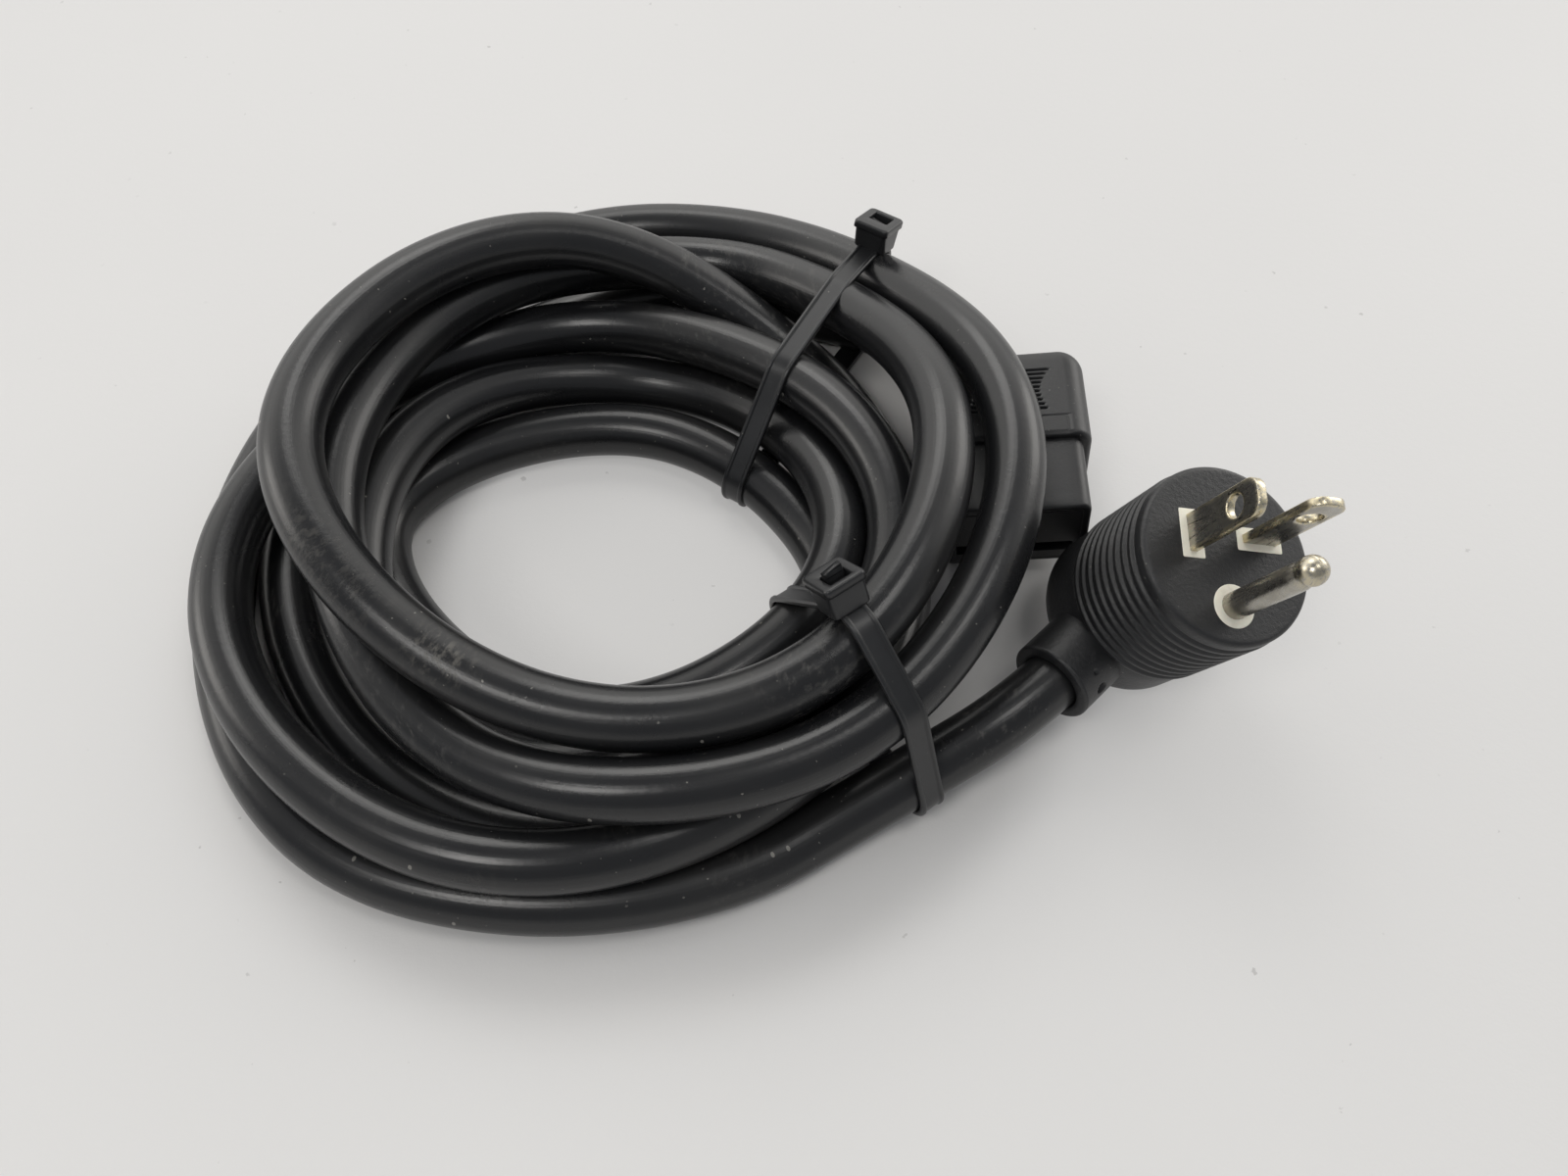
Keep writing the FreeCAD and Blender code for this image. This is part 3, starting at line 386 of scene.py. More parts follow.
def cord_line(sizes):
    """Control points of the whole cord: plug end, coil, connector end."""
    diameter = sizes.jacket_diameter
    drop = UP * -PRESSED_FLAT
    stations = np.array([MIDDLE + heading(b) * r + UP * h for b, r, h in STATIONS])
    exit_corner = placed(COLLAR_WAY * 0.032 - COLLAR_DROP, PLUG)
    plug_end = placed(COLLAR_WAY * 0.015 - COLLAR_DROP, PLUG)
    first_way = stations[0] + drop - exit_corner
    first_way /= np.linalg.norm(first_way)
    last_way = heading(COIL_END_HEADING)
    coil_start = stations[0] + drop - first_way * diameter
    coil_end = stations[-1] + drop + last_way * diameter
    boot_tip = placed(BOOT_BASE + BOOT_WAY * 0.018, CONNECTOR)
    connector_end = placed(BOOT_BASE + BOOT_WAY * 0.003, CONNECTOR)
    plug_route = [plug_end, exit_corner, coil_start]
    connector_route = [coil_end, coil_end + last_way * LEAD_RUN_IN, MIDDLE + LEAD_SPOT,
                       boot_tip, connector_end]
    knots = np.concatenate([[coil_start], stations + drop, [coil_end]])
    coil = spline_through(knots, POINT_SPACING)
    points = np.concatenate([plug_route[:2], coil, connector_route[1:]])
    bend = np.zeros_like(points)
    bend[1:-1] = (points[:-2] + points[2:] - 2 * points[1:-1]) / 8
    free = np.arange(4, len(points) - 6)
    points[free] -= bend[free]
    return settled(points, free, diameter)


def line_on_spline(points):
    """Points read from the NURBS spline that has the cord's control points."""
    curve = bpy.data.curves.new("cord_line", "CURVE")
    curve.dimensions = "3D"
    curve.resolution_u = 16
    spline = curve.splines.new("NURBS")
    spline.points.add(len(points) - 1)
    spline.points.foreach_set("co", np.column_stack([points, np.ones(len(points))]).ravel())
    spline.order_u = 3
    spline.use_endpoint_u = True
    holder = bpy.data.objects.new("cord_line", curve)
    mesh = bpy.data.meshes.new_from_object(holder)
    line = np.empty(len(mesh.vertices) * 3)
    mesh.vertices.foreach_get("co", line)
    bpy.data.objects.remove(holder)
    bpy.data.curves.remove(curve)
    bpy.data.meshes.remove(mesh)
    return line.reshape(-1, 3)


def evenly(line, spacing):
    """The line resampled at even steps of its length, and the length at each."""
    run = lengths(line)
    at = np.linspace(0, run[-1], int(run[-1] / spacing) + 1)
    return between(line, run, at), at


def tube_rows(line, radii, sides):
    """Rings round a line: centre + radius (cos a aside + sin a above).

    Aside is level and square to the line, above is square to both."""
    way = unit(np.gradient(line, axis=0))
    aside = unit(np.cross(way, UP))
    above = np.cross(aside, way)
    angle = around(sides)
    radii = np.broadcast_to(radii, len(line))[:, None, None]
    return line[:, None] + radii * (np.cos(angle)[None, :, None] * aside[:, None]
                                    + np.sin(angle)[None, :, None] * above[:, None])


def lay_uv(obj, rows, sides, run):
    """A UV map with the length along the cord in metres, and the share round it."""
    mesh = obj.data
    corners = np.empty(len(mesh.loops), np.int64)
    mesh.loops.foreach_get("vertex_index", corners)
    starts = np.empty(len(mesh.polygons), np.int64)
    mesh.polygons.foreach_get("loop_start", starts)
    owner = np.searchsorted(starts, np.arange(len(corners)), side="right") - 1
    along = np.concatenate([np.repeat(run, sides), [0, run[-1]]])[corners]
    step = np.concatenate([np.tile(np.arange(sides), rows), [0, 0]])[corners].astype(float)
    widest = np.maximum.reduceat(step, starts)[owner]
    step[(widest == sides - 1) & (step == 0)] = sides
    layer = mesh.uv_layers.new(name="along_cord")
    layer.data.foreach_set("uv", np.column_stack([along, step / sides]).ravel())


# Shader nodes

GROUPS = {}
DUST_COLOUR = (0.30, 0.29, 0.26, 1)


def opaque(colour, factor=1.0, lift=0.0):
    """A colour with full alpha, each part times a factor plus a lift."""
    return tuple(c * factor + lift for c in colour) + (1.0,)


class Nodes:
    """Adds nodes to one tree. An input is a plain value or another node's output."""

    def __init__(self, tree):
        self.tree = tree

    def feed(self, socket, value):
        """Gives a socket a plain value or a link."""
        if isinstance(value, bpy.types.NodeSocket):
            self.tree.links.new(value, socket)
        else:
            socket.default_value = value

    def add(self, kind, inputs=(), **settings):
        """A shader node with its settings, and its inputs by name or number."""
        node = self.tree.nodes.new("ShaderNode" + kind)
        for key, value in settings.items():
            setattr(node, key, value)
        for socket, value in dict(inputs).items():
            self.feed(node.inputs[socket], value)
        return node

    def ramp(self, source, low, high):
        """A smooth step of a value from low to high, from nought to one."""
        return self.add("MapRange", {"Value": source, "From Min": low, "From Max": high},
                        interpolation_type="SMOOTHSTEP").outputs["Result"]

    def times(self, a, b, operation="MULTIPLY"):
        """One Math node on two values."""
        return self.add("Math", {0: a, 1: b}, operation=operation).outputs[0]

    def total(self, start, *terms):
        """Start plus each value times its factor."""
        for value, factor in terms:
            start = self.times(self.times(value, factor), start, "ADD")
        return start

    def coats(self, colour, *coats):
        """A colour with coats mixed over it, each a mask and a colour."""
        for mask, over in coats:
            colour = self.add("Mix", {"Factor": mask, 6: colour, 7: over},
                              data_type="RGBA").outputs[2]
        return colour

    def noise(self, place, scale, detail, output="Fac", roughness=0.5):
        """A noise at a place."""
        return self.add("TexNoise", {"Vector": place, "Scale": scale, "Detail": detail,
                                     "Roughness": roughness}).outputs[output]

    def mapped(self, place, scale, rotation=(0, 0, 0)):
        """A place stretched and turned."""
        return self.add("Mapping", {"Vector": place, "Scale": scale,
                                    "Rotation": rotation}).outputs[0]

    def vector(self, operation, inputs, output=0):
        """One Vector Math node."""
        return self.add("VectorMath", inputs, operation=operation).outputs[output]

    def use(self, maker, place, **values):
        """A shared group, made at its first use, with this tree's own values."""
        if maker not in GROUPS:
            GROUPS[maker] = maker()
        return self.add("Group", {"Vector": place, **values},
                        node_tree=GROUPS[maker]).outputs[0]


class Finish(Nodes):
    """The nodes of a material, with its shader and the Object coordinates."""

    def __init__(self, name):
        self.material = bpy.data.materials.new(name)
        self.material.use_nodes = True
        super().__init__(self.material.node_tree)
        self.shader = self.tree.nodes["Principled BSDF"]
        self.here = self.add("TexCoord").outputs["Object"]

    def shade(self, **values):
        """Inputs of the shader, by name."""
        for key, value in values.items():
            self.feed(self.shader.inputs[key.replace("_", " ")], value)

    def paint(self, colour, *coats):
        """The base colour: a colour with coats mixed over it."""
        self.shade(Base_Color=self.coats(opaque(colour), *coats))

    def rough(self, start, *terms):
        """The roughness: a start plus each value times its factor."""
        self.shade(Roughness=self.total(start, *terms))

    def bump(self, height, depth):
        """A Bump node from a height to the shader's normal."""
        node = self.add("Bump", {"Height": height, "Distance": depth})
        self.shade(Normal=node.outputs[0])


def group(name, output, **values):
    """An empty node group that takes a place and numbers and gives one number.

    Returned are its nodes, the places its values come from, and where its result goes."""
    tree = bpy.data.node_groups.new(name, "ShaderNodeTree")
    sockets = tree.interface
    sockets.new_socket("Vector", in_out="INPUT", socket_type="NodeSocketVector")
    for title, value in values.items():
        socket = sockets.new_socket(title, in_out="INPUT", socket_type="NodeSocketFloat")
        socket.default_value = value
    sockets.new_socket(output, in_out="OUTPUT", socket_type="NodeSocketFloat")
    given = tree.nodes.new("NodeGroupInput").outputs[:1 + len(values)]
    return Nodes(tree), given, tree.nodes.new("NodeGroupOutput").inputs[0]


def dust_group():
    """Light specks: cells whose distance to their point is below a size, thinned by a
    broad noise. The place is shaken by a fine noise first, so no speck is round."""
    n, (place, scale, amount, rarity), end = group("Settled Dust", "Mask", Scale=900.0,
                                                   Amount=0.5, Rarity=0.85)
    shake = n.noise(place, n.times(scale, 2.5), 3.0, "Color")
    centred = n.vector("SUBTRACT", {0: shake, 1: (0.5, 0.5, 0.5)})
    small = n.vector("SCALE", {0: centred, "Scale": n.times(0.7, scale, "DIVIDE")})
    cells = n.add("TexVoronoi", {"Vector": n.vector("ADD", {0: place, 1: small}),
                                 "Scale": scale})
    lot = n.add("SeparateColor", {"Color": cells.outputs["Color"]}).outputs
    chosen = n.add("MapRange", {"Value": lot[0], "From Min": rarity, "From Max": 1.0})
    size = n.times(n.times(chosen.outputs[0], lot[1]), 0.34)
    speck = n.times(cells.outputs["Distance"], size, "LESS_THAN")
    thin = n.ramp(n.noise(place, 38.0, 4.0), 0.42, 0.62)
    n.feed(end, n.times(n.times(speck, thin), amount))
    return n.tree


def scuff_group():
    """Rubbed places: a stretched fine noise kept only where a broad noise is high."""
    n, (place, patches, amount), end = group("Scuffs", "Mask", Patches=22.0, Amount=0.5)
    streak = n.noise(n.mapped(place, (1.0, 0.35, 1.6), (0.3, 0.2, 0.6)), 700.0, 5.0,
                     roughness=0.65)
    fine = n.ramp(streak, 0.52, 0.74)
    broad = n.ramp(n.noise(place, patches, 2.0), 0.56, 0.72)
    n.feed(end, n.times(n.times(fine, broad), amount))
    return n.tree


def grain_group():
    """Fine moulded grain as a height: two noises, one four times finer."""
    n, (place, scale), end = group("Moulded Grain", "Height", Scale=1500.0)
    fine = n.noise(place, n.times(scale, 4.0), 2.0)
    n.feed(end, n.total(n.noise(place, scale, 2.0), (fine, 0.4)))
    return n.tree


def jacket_finish(looks):
    """Soft black vinyl: cloudy sheen, rubbed grey patches, dust, scratches, drawn lines."""
    f = Finish("jacket vinyl")
    along = f.add("UVMap", uv_map="along_cord").outputs[0]
    rub = f.add("Attribute", attribute_name="rub").outputs["Fac"]
    lines = f.noise(f.mapped(along, (6.0, 40.0, 1.0)), 1.0, 4.0)
    cloud = f.noise(f.here, 45.0, 4.0)
    streaks = f.noise(f.mapped(along, (900.0, 14.0, 1.0), (0, 0, 0.2)), 1.0, 5.0,
                      roughness=0.7)
    cells = f.add("TexVoronoi", {"Vector": f.mapped(along, (420.0, 9.0, 1.0), (0, 0, -0.5)),
                                 "Scale": 1.0}).outputs
    lot = f.add("SeparateColor", {"Color": cells["Color"]}).outputs[0]
    scratch = f.times(f.times(cells["Distance"], 0.13, "LESS_THAN"),
                      f.times(lot, 0.965, "GREATER_THAN"))
    dust = f.use(dust_group, f.here, Scale=1300.0, Amount=0.55, Rarity=0.86)
    scuffs = f.use(scuff_group, f.here, Patches=26.0, Amount=looks.wear)
    rubbed = f.times(rub, f.ramp(streaks, 0.46, 0.66))
    film = f.times(f.ramp(cloud, 0.45, 0.75), 0.3)
    f.paint(looks.jacket_colour, (film, (0.026, 0.025, 0.0235, 1)),
            (scuffs, (0.10, 0.096, 0.088, 1)), (f.times(rubbed, 0.75), (0.17, 0.16, 0.14, 1)),
            (f.times(scratch, 0.6), DUST_COLOUR), (dust, DUST_COLOUR))
    f.rough(0.19, (cloud, 0.18), (scuffs, 0.3), (rubbed, 0.25), (dust, 0.3))
    f.bump(f.total(lines, (f.use(grain_group, f.here, Scale=900.0), 0.5)), 0.00004)
    return f.material


def moulding_finish(name, colour, grain_scale, grain_depth, roughness, wear):
    """Black moulded vinyl or nylon: grain, rubbed patches, dust."""
    f = Finish(name)
    cloud = f.noise(f.here, 90.0, 3.0)
    dust = f.use(dust_group, f.here, Scale=1700.0, Amount=0.55, Rarity=0.84)
    scuffs = f.use(scuff_group, f.here, Patches=60.0, Amount=wear)
    f.paint(colour, (f.ramp(cloud, 0.35, 0.75), opaque(colour, 1.35, 0.002)),
            (scuffs, (0.12, 0.115, 0.11, 1)), (dust, DUST_COLOUR))
    f.rough(roughness - 0.07, (cloud, 0.14), (dust, 0.3))
    f.bump(f.use(grain_group, f.here, Scale=grain_scale), grain_depth)
    return f.material


def plate_finish(looks):
    """Worn nickel on brass: streaked grey plate, brass where edges rub."""
    f = Finish("worn plate")
    rub = f.add("Attribute", attribute_name="rub").outputs["Fac"]
    streaks = f.noise(f.mapped(f.here, (1.0, 1.0, 0.12), (0.2, -0.28, 0)), 2600.0, 4.0)
    tarnish = f.times(f.ramp(f.noise(f.here, 320.0, 5.0), 0.38, 0.7), 0.55)
    bare = f.times(rub, f.ramp(streaks, 0.3, 0.6))
    f.paint(looks.plate_colour, (tarnish, (0.27, 0.25, 0.21, 1)),
            (bare, opaque(looks.brass_colour)))
    f.rough(0.16, (streaks, 0.2), (tarnish, 0.12))
    f.shade(Metallic=1.0)
    f.bump(streaks, 0.00001)
    return f.material


def insert_finish(looks):
    """Cream nylon: faint mottling of darker dirt, and fine grain."""
    f = Finish("cream insert")
    cloud = f.noise(f.here, 500.0, 4.0)
    dirt = f.times(f.ramp(cloud, 0.5, 0.8), 0.35)
    f.paint(looks.insert_colour, (dirt, (0.42, 0.38, 0.29, 1)))
    f.rough(0.36, (cloud, 0.2))
    f.shade(Subsurface_Weight=0.05, Subsurface_Scale=0.001)
    f.bump(f.use(grain_group, f.here, Scale=2500.0), 0.00002)
    return f.material


def sheath_finish(name, colour):
    """Thin glossy insulation on a core: a slight ripple and darker patches."""
    f = Finish(name)
    cloud = f.noise(f.here, 400.0, 3.0)
    f.paint(colour, (f.ramp(cloud, 0.4, 0.8), opaque(colour, 0.7)))
    f.rough(0.22, (cloud, 0.2))
    f.bump(f.use(grain_group, f.here, Scale=700.0), 0.00003)
    return f.material


def contact_finish(looks):
    """Bright stamped brass: rolled streaks and slight tarnish."""
    f = Finish("contact brass")
    streaks = f.noise(f.mapped(f.here, (1.0, 0.1, 1.0)), 1800.0, 4.0)
    f.paint(looks.brass_colour, (f.ramp(streaks, 0.3, 0.8), (0.42, 0.3, 0.13, 1)))
    f.rough(0.2, (streaks, 0.2))
    f.shade(Metallic=1.0)
    f.bump(streaks, 0.00002)
    return f.material


def floor_finish(looks):
    """Pale paper: faint mottling, specks, and a painted glow that lightens the floor's shadows
    away from the coil.

    That glow is an emission for the camera and for reflections only, and it stops in a ring
    under the strands, which is between two distances from the middle of the coil."""
    f = Finish("pale floor")
    specks = f.use(dust_group, f.here, Scale=520.0, Amount=0.5, Rarity=0.95)
    mottling = f.ramp(f.noise(f.here, 9.0, 3.0), 0.3, 0.8)
    colour = f.coats(opaque(looks.floor_colour), (mottling, opaque(looks.floor_colour, 0.985)),
                     (specks, (0.35, 0.34, 0.33, 1)))
    f.shade(Base_Color=colour, Roughness=0.55)
    f.bump(f.use(grain_group, f.here, Scale=600.0), 0.00003)
    # Painted light: a glow of the floor's own colour, mixed in outside the ring of strands and
    # in the hole, which lightens the shadows there
    away = f.vector("DISTANCE", {0: f.here, 1: tuple(MIDDLE)}, "Value")
    painted_glow_mask = f.times(f.ramp(away, 0.082, 0.097), f.ramp(away, 0.044, 0.032), "ADD")
    rays = f.add("LightPath").outputs
    seen = f.times(rays["Is Camera Ray"], rays["Is Glossy Ray"], "MAXIMUM")
    plain = f.add("Emission", {"Color": colour}).outputs[0]
    both = f.add("MixShader", {"Fac": f.times(f.times(seen, painted_glow_mask), 0.42),
                               1: f.shader.outputs[0], 2: plain}).outputs[0]
    f.feed(f.tree.nodes["Material Output"].inputs["Surface"], both)
    return f.material


# Sizes and colours that a user may change

def metres(name, text, value, **limits):
    """A length in metres."""
    return bpy.props.FloatProperty(name=name, description=text, default=value,
                                   subtype="DISTANCE", unit="LENGTH", **limits)


def tint(name, text, value):
    """A colour."""
    return bpy.props.FloatVectorProperty(name=name, description=text, default=value, size=3,
                                         min=0, max=1, subtype="COLOR")


class CordSizes(bpy.types.PropertyGroup):
    jacket_diameter: metres("Jacket diameter", "Outside of the round jacket",
                            JACKET_RADIUS * 2, min=0.006, max=0.016)
    boot_length: metres("Boot length", "Tapered relief on the cord behind the connector",
                        0.021, min=0.02, max=0.06)


class PlugSizes(bpy.types.PropertyGroup):
    barrel_radius: metres("Barrel radius", "Ribbed barrel between its ribs", 0.01535)
    rib_height: metres("Rib height", "How far a rib stands out of the barrel", 0.0006)
    rib_pitch: metres("Rib pitch", "Distance from rib to rib", 0.0022)
    blade_length: metres("Blade length", "Blade beyond the face of the plug", 0.0178)
    pin_length: metres("Pin length", "Ground pin beyond the face of the plug", 0.0208)


class ConnectorSizes(bpy.types.PropertyGroup):
    width: metres("Width", "Housing, side to side", HOUSING_HALF * 2)
    height: metres("Height", "Housing, bottom to top", HOUSING_HEIGHT)
    length: metres("Length", "Housing, front to back", HOUSING_LENGTH)
    nose_length: metres("Nose length", "Nose that goes into the appliance", NOSE_LENGTH)


class TieSizes(bpy.types.PropertyGroup):
    strap_width: metres("Strap width", "Cable tie strap", 0.0047)
    strap_thickness: metres("Strap thickness", "Cable tie strap", 0.0012)


class CordLooks(bpy.types.PropertyGroup):
    jacket_colour: tint("Jacket", "Jacket of the cord", (0.0095, 0.0098, 0.0107))
    overmould_colour: tint("Mouldings", "Plug and connector", (0.009, 0.0093, 0.0102))
    nylon_colour: tint("Cable ties", "Straps and heads", (0.011, 0.0115, 0.0125))
    insert_colour: tint("Insert", "Insert round the blades", (0.80, 0.77, 0.66))
    plate_colour: tint("Plate", "Plated blades and pin", (0.43, 0.415, 0.38))
    brass_colour: tint("Brass", "Bare brass", (0.68, 0.60, 0.41))
    floor_colour: tint("Floor", "Paper under the coil", (0.705, 0.698, 0.688))
    wear: bpy.props.FloatProperty(
        name="Wear", description="How strongly rubbed places show on the jacket",
        default=0.5, min=0, max=1, subtype="FACTOR")


# Operators

def lamp(name, place, size, power, colour):
    """A square area lamp whose minus Z points at the origin."""
    light = bpy.data.lights.new(name, "AREA")
    light.size = size
    light.energy = power
    light.color = colour
    obj = added(name, light)
    obj.location = place
    obj.rotation_euler = (-Vector(place)).to_track_quat("-Z", "Y").to_euler()


def bright_surroundings():
    """A world that is pale at the horizon, and above it bright behind the coil and dim
    in front of it and overhead.

    The second and third parts of the world's own coordinates say how far behind and how
    high a direction points."""
    world = bpy.data.worlds.new("surroundings")
    world.use_nodes = True
    n = Nodes(world.node_tree)
    parts = n.add("SeparateXYZ", {"Vector": n.add("TexCoord").outputs["Generated"]}).outputs
    behind = n.ramp(parts["Y"], -0.25, 0.50)
    below = n.ramp(parts["Z"], 0.93, 0.62)
    colour = n.coats((0.19, 0.195, 0.205, 1), (n.times(behind, below), (1.0, 0.985, 0.955, 1)))
    colour = n.coats((0.50, 0.495, 0.485, 1), (n.ramp(parts["Z"], 0.03, 0.28), colour))
    background = world.node_tree.nodes["Background"].inputs
    n.feed(background["Color"], colour)
    n.feed(background["Strength"], 1.5)
    return world


class SCENE_OT_stage(bpy.types.Operator):
    """Sets the camera, the lamps, the world and the pale floor"""
    bl_idname = "mains_cord.stage"
    bl_label = "Stage"

    def execute(self, context):
        scene = context.scene
        camera = bpy.data.cameras.new("camera")
        camera.sensor_width = 36
        camera.lens = 27
        camera.clip_start = 0.01
        eye = added("camera", camera)
        eye.location = MIDDLE + [0.0310, -0.1220, 0.2016]
        eye.rotation_euler = (math.radians(30), 0, 0)
        scene.camera = eye
        scene.view_settings.view_transform = "Standard"
        lamp("left ceiling", (-0.34, -0.36, 0.86), 0.26, 1.9, (1.0, 0.98, 0.95))
        lamp("right ceiling", (0.30, -0.02, 0.94), 0.22, 1.0, (1.0, 0.98, 0.95))
        lamp("back ceiling", (-0.15, 0.66, 0.74), 0.40, 1.6, (1.0, 0.985, 0.96))
        lamp("left", (-0.95, 0.1, 0.35), 0.4, 1.5, (1.0, 0.96, 0.91))
        lamp("right", (0.8, 0.55, 0.35), 0.5, 1.7, (1.0, 0.97, 0.93))
        scene.world = bright_surroundings()
        mesh = bpy.data.meshes.new("floor")
        reach = 3.0
        corners = np.array([(-1, -1, 0), (1, -1, 0), (1, 1, 0), (-1, 1, 0)]) * reach
        mesh.from_pydata(corners, [], [(0, 1, 2, 3)])
        mesh.materials.append(floor_finish(scene.cord_looks))
        floor = added("floor", mesh)
        return {"FINISHED"}


LINE = {}


def rubbed_share(points):
    """How rubbed the jacket is: over the rubbed places, the largest bell of the distance."""
    share = np.zeros(len(points))
    for bearing, reach, height, size in RUBBED:
        place = MIDDLE + heading(bearing) * reach + UP * (height + JACKET_RADIUS)
        away = np.linalg.norm(points - place, axis=1) / size
        share = np.maximum(share, np.exp(-away ** 2))
    return share


class MESH_OT_jacket(bpy.types.Operator):
    """Lays the whole cord as one tube along its settled line"""
    bl_idname = "mains_cord.jacket"
    bl_label = "Jacket"

    def execute(self, context):
        sizes = context.scene.cord_sizes
        points = cord_line(sizes)
        line, run = evenly(line_on_spline(points), RING_SPACING)
        LINE["points"] = line
        radius = sizes.jacket_diameter / 2
        rows = tube_rows(line, radius, JACKET_SIDES)
        rows[..., 2] = np.maximum(rows[..., 2], 0.00002)
        worn = rubbed_share(rows.reshape(-1, 3))
        obj = piece("cord", [skin(rows)], jacket_finish(context.scene.cord_looks),
                    replaced=("cord_coil", "plug_lead", "connector_lead"),
                    rub=np.concatenate([worn, [0.0, 0.0]]))
        lay_uv(obj, len(rows), JACKET_SIDES, run)
        print("cord length", round(float(run[-1]), 4))
        return {"FINISHED"}


def barrel_profile(sizes):
    """Radius and depth from the middle of the face down to the middle of the base.

    A round rim, a slight cone, ribs that are the cube root of a cosine wave, the base
    and its large round."""
    rim_round, flange_end, heel_top, heel_round = 0.0009, 0.0026, -0.031, 0.006
    face = [(0.004, 0), (0.009, 0), (0.0128, 0), (0.0143, 0)]
    rim = arc(quarter(90, 0), rim_round, 0.01475, -rim_round)
    cone = [(0.01572, -0.0021), (0.0157, -0.0023), (0.01562, -0.00248),
            (PLUG_RADIUS, -0.00258)]
    depth = np.linspace(0, RIBS * sizes.rib_pitch, RIBS * 14 + 1)
    wave = np.cos(2 * np.pi * (depth / sizes.rib_pitch - 0.5))
    swell = sizes.rib_height * np.clip(0.5 + 0.5 * np.cbrt(wave * 1.15), 0, 1)
    ribs = np.column_stack([sizes.barrel_radius + swell, -flange_end - depth])
    low = ribs[-1, 1]
    base = [(0.01542, low - 0.0002), (PLUG_RADIUS, low - 0.0005), (PLUG_RADIUS, -0.0255),
            (PLUG_RADIUS, -0.028), (PLUG_RADIUS, heel_top)]
    heel = arc(-quarter(0, 90, 12), heel_round, PLUG_RADIUS - heel_round, heel_top)
    return np.concatenate([face, rim, cone, ribs, base, heel[1:],
                           [(0.005, heel_top - heel_round)]])


def carried_round(profile, sides):
    """A profile of radius and height turned about the axis: r cos a, r sin a, z."""
    angle = around(sides)
    radius, height = profile[:, 0, None], profile[:, 1, None]
    return np.stack([radius * np.cos(angle), radius * np.sin(angle),
                     np.broadcast_to(height, (len(profile), sides))], -1)


def dent(along, angle, at, turn, reach, depth, radius):
    """Depth of a small round dent on the collar: one smooth bowl of the distance."""
    away = np.hypot(along - at, (angle - math.radians(turn)) * radius) / reach
    return depth * bowl(away, 4)


def collar_rows(sides):
    """The collar on its own axis: a tube with a round lip, blended into the base.

    From where it leaves the base, its radius grows towards the base by a quarter circle,
    and past the lip it turns in to the jacket and back."""
    radius, reach, blend, lip = 0.00775, COLLAR_REACH, 0.0015, 0.0005
    mouth, bore = 0.00552, 0.0046
    angle = around(sides)[None, :]
    start = np.sqrt(PLUG_RADIUS ** 2 - (radius * np.cos(angle)) ** 2) - 0.0012
    along = start + np.linspace(0, 1, 46)[:, None] * (reach - lip - start)
    fillet = np.clip(1 - (along - start) / blend, 0, 1)
    flare = blend * (1 - np.sqrt(1 - fillet ** 2 * 0.999)) * 0.55
    hole = dent(along, angle, 0.0195, 38, 0.0011, 0.0016, radius)
    mark = dent(along, angle, 0.0198, 68, 0.0005, 0.0003, radius)
    rim = arc(quarter(90, 0), lip, reach - lip, radius - lip)
    inside = np.array([(reach, 0.0070), (reach, 0.0064), (reach, mouth + 0.0002),
                       (reach - 0.0002, mouth), (reach - 0.002, mouth),
                       (reach - 0.002, bore), (0.010, bore), (0.0098, radius)])
    parts = [(along, radius + flare - hole - mark), (rim[:, :1], rim[:, 1:]),
             (inside[:, :1], inside[:, 1:])]
    along, out = (np.concatenate([np.broadcast_to(part[k], (len(part[k]), sides))
                                  for part in parts])[..., None] for k in (0, 1))
    around_axis = (np.cos(angle)[..., None] * np.cross(UP, COLLAR_WAY)
                   + np.sin(angle)[..., None] * UP)
    return along * COLLAR_WAY - COLLAR_DROP + out * around_axis


class MESH_OT_plug(bpy.types.Operator):
    """Makes the ribbed overmould of the plug with its collar"""
    bl_idname = "mains_cord.plug"
    bl_label = "Plug moulding"

    def execute(self, context):
        looks = context.scene.cord_looks
        barrel = placed(carried_round(barrel_profile(context.scene.plug_sizes), 192), PLUG)
        collar = placed(collar_rows(192), PLUG)
        finish = moulding_finish("plug moulding", looks.overmould_colour, 1300.0, 0.00007,
                                 0.42, 0.5)
        piece("plug_moulding", [skin(barrel), skin(collar, closed=True)], finish,
              replaced=("plug_body",))
        return {"FINISHED"}


def blade_rows(sizes):
    """A blade as a ring round its hole: face, rim, back and the wall of the hole.

    Each ring point lies between a point of the outline and the point of the hole that
    faces it, and rims are set in by a small round."""
    half, foot, thick, edge, hole_at, hole = 0.003175, -0.013, 0.00152, 0.00018, 0.0122, 0.002
    outline = blade_outline(half, foot, sizes.blade_length)
    toward = unit(outline - [0, hole_at])
    inner = toward * hole + [0, hole_at]
    ahead = unit(np.roll(outline, -1, 0) - np.roll(outline, 1, 0))
    inward = np.column_stack([-ahead[:, 1], ahead[:, 0]])
    cut = edge * 0.3
    order = [(inner, 0.9, -edge), (inner + toward * cut, 1.0, -cut),
             (inner + toward * edge, 0.9, 0), (inner + toward * 0.0006, 0.15, 0),
             (outline + inward * 0.0009, 0.0, 0), (outline + inward * edge, 0.9, 0),
             (outline + inward * cut, 1.0, -cut), (outline, 0.9, -edge)]
    rings = [(flat, side * (thick / 2 + back), worn) for side in (1, -1)
             for flat, worn, back in order[::side]]
    return (np.array([upright(flat, height) for flat, height, _ in rings]),
            np.repeat([worn for _, _, worn in rings], len(outline)))


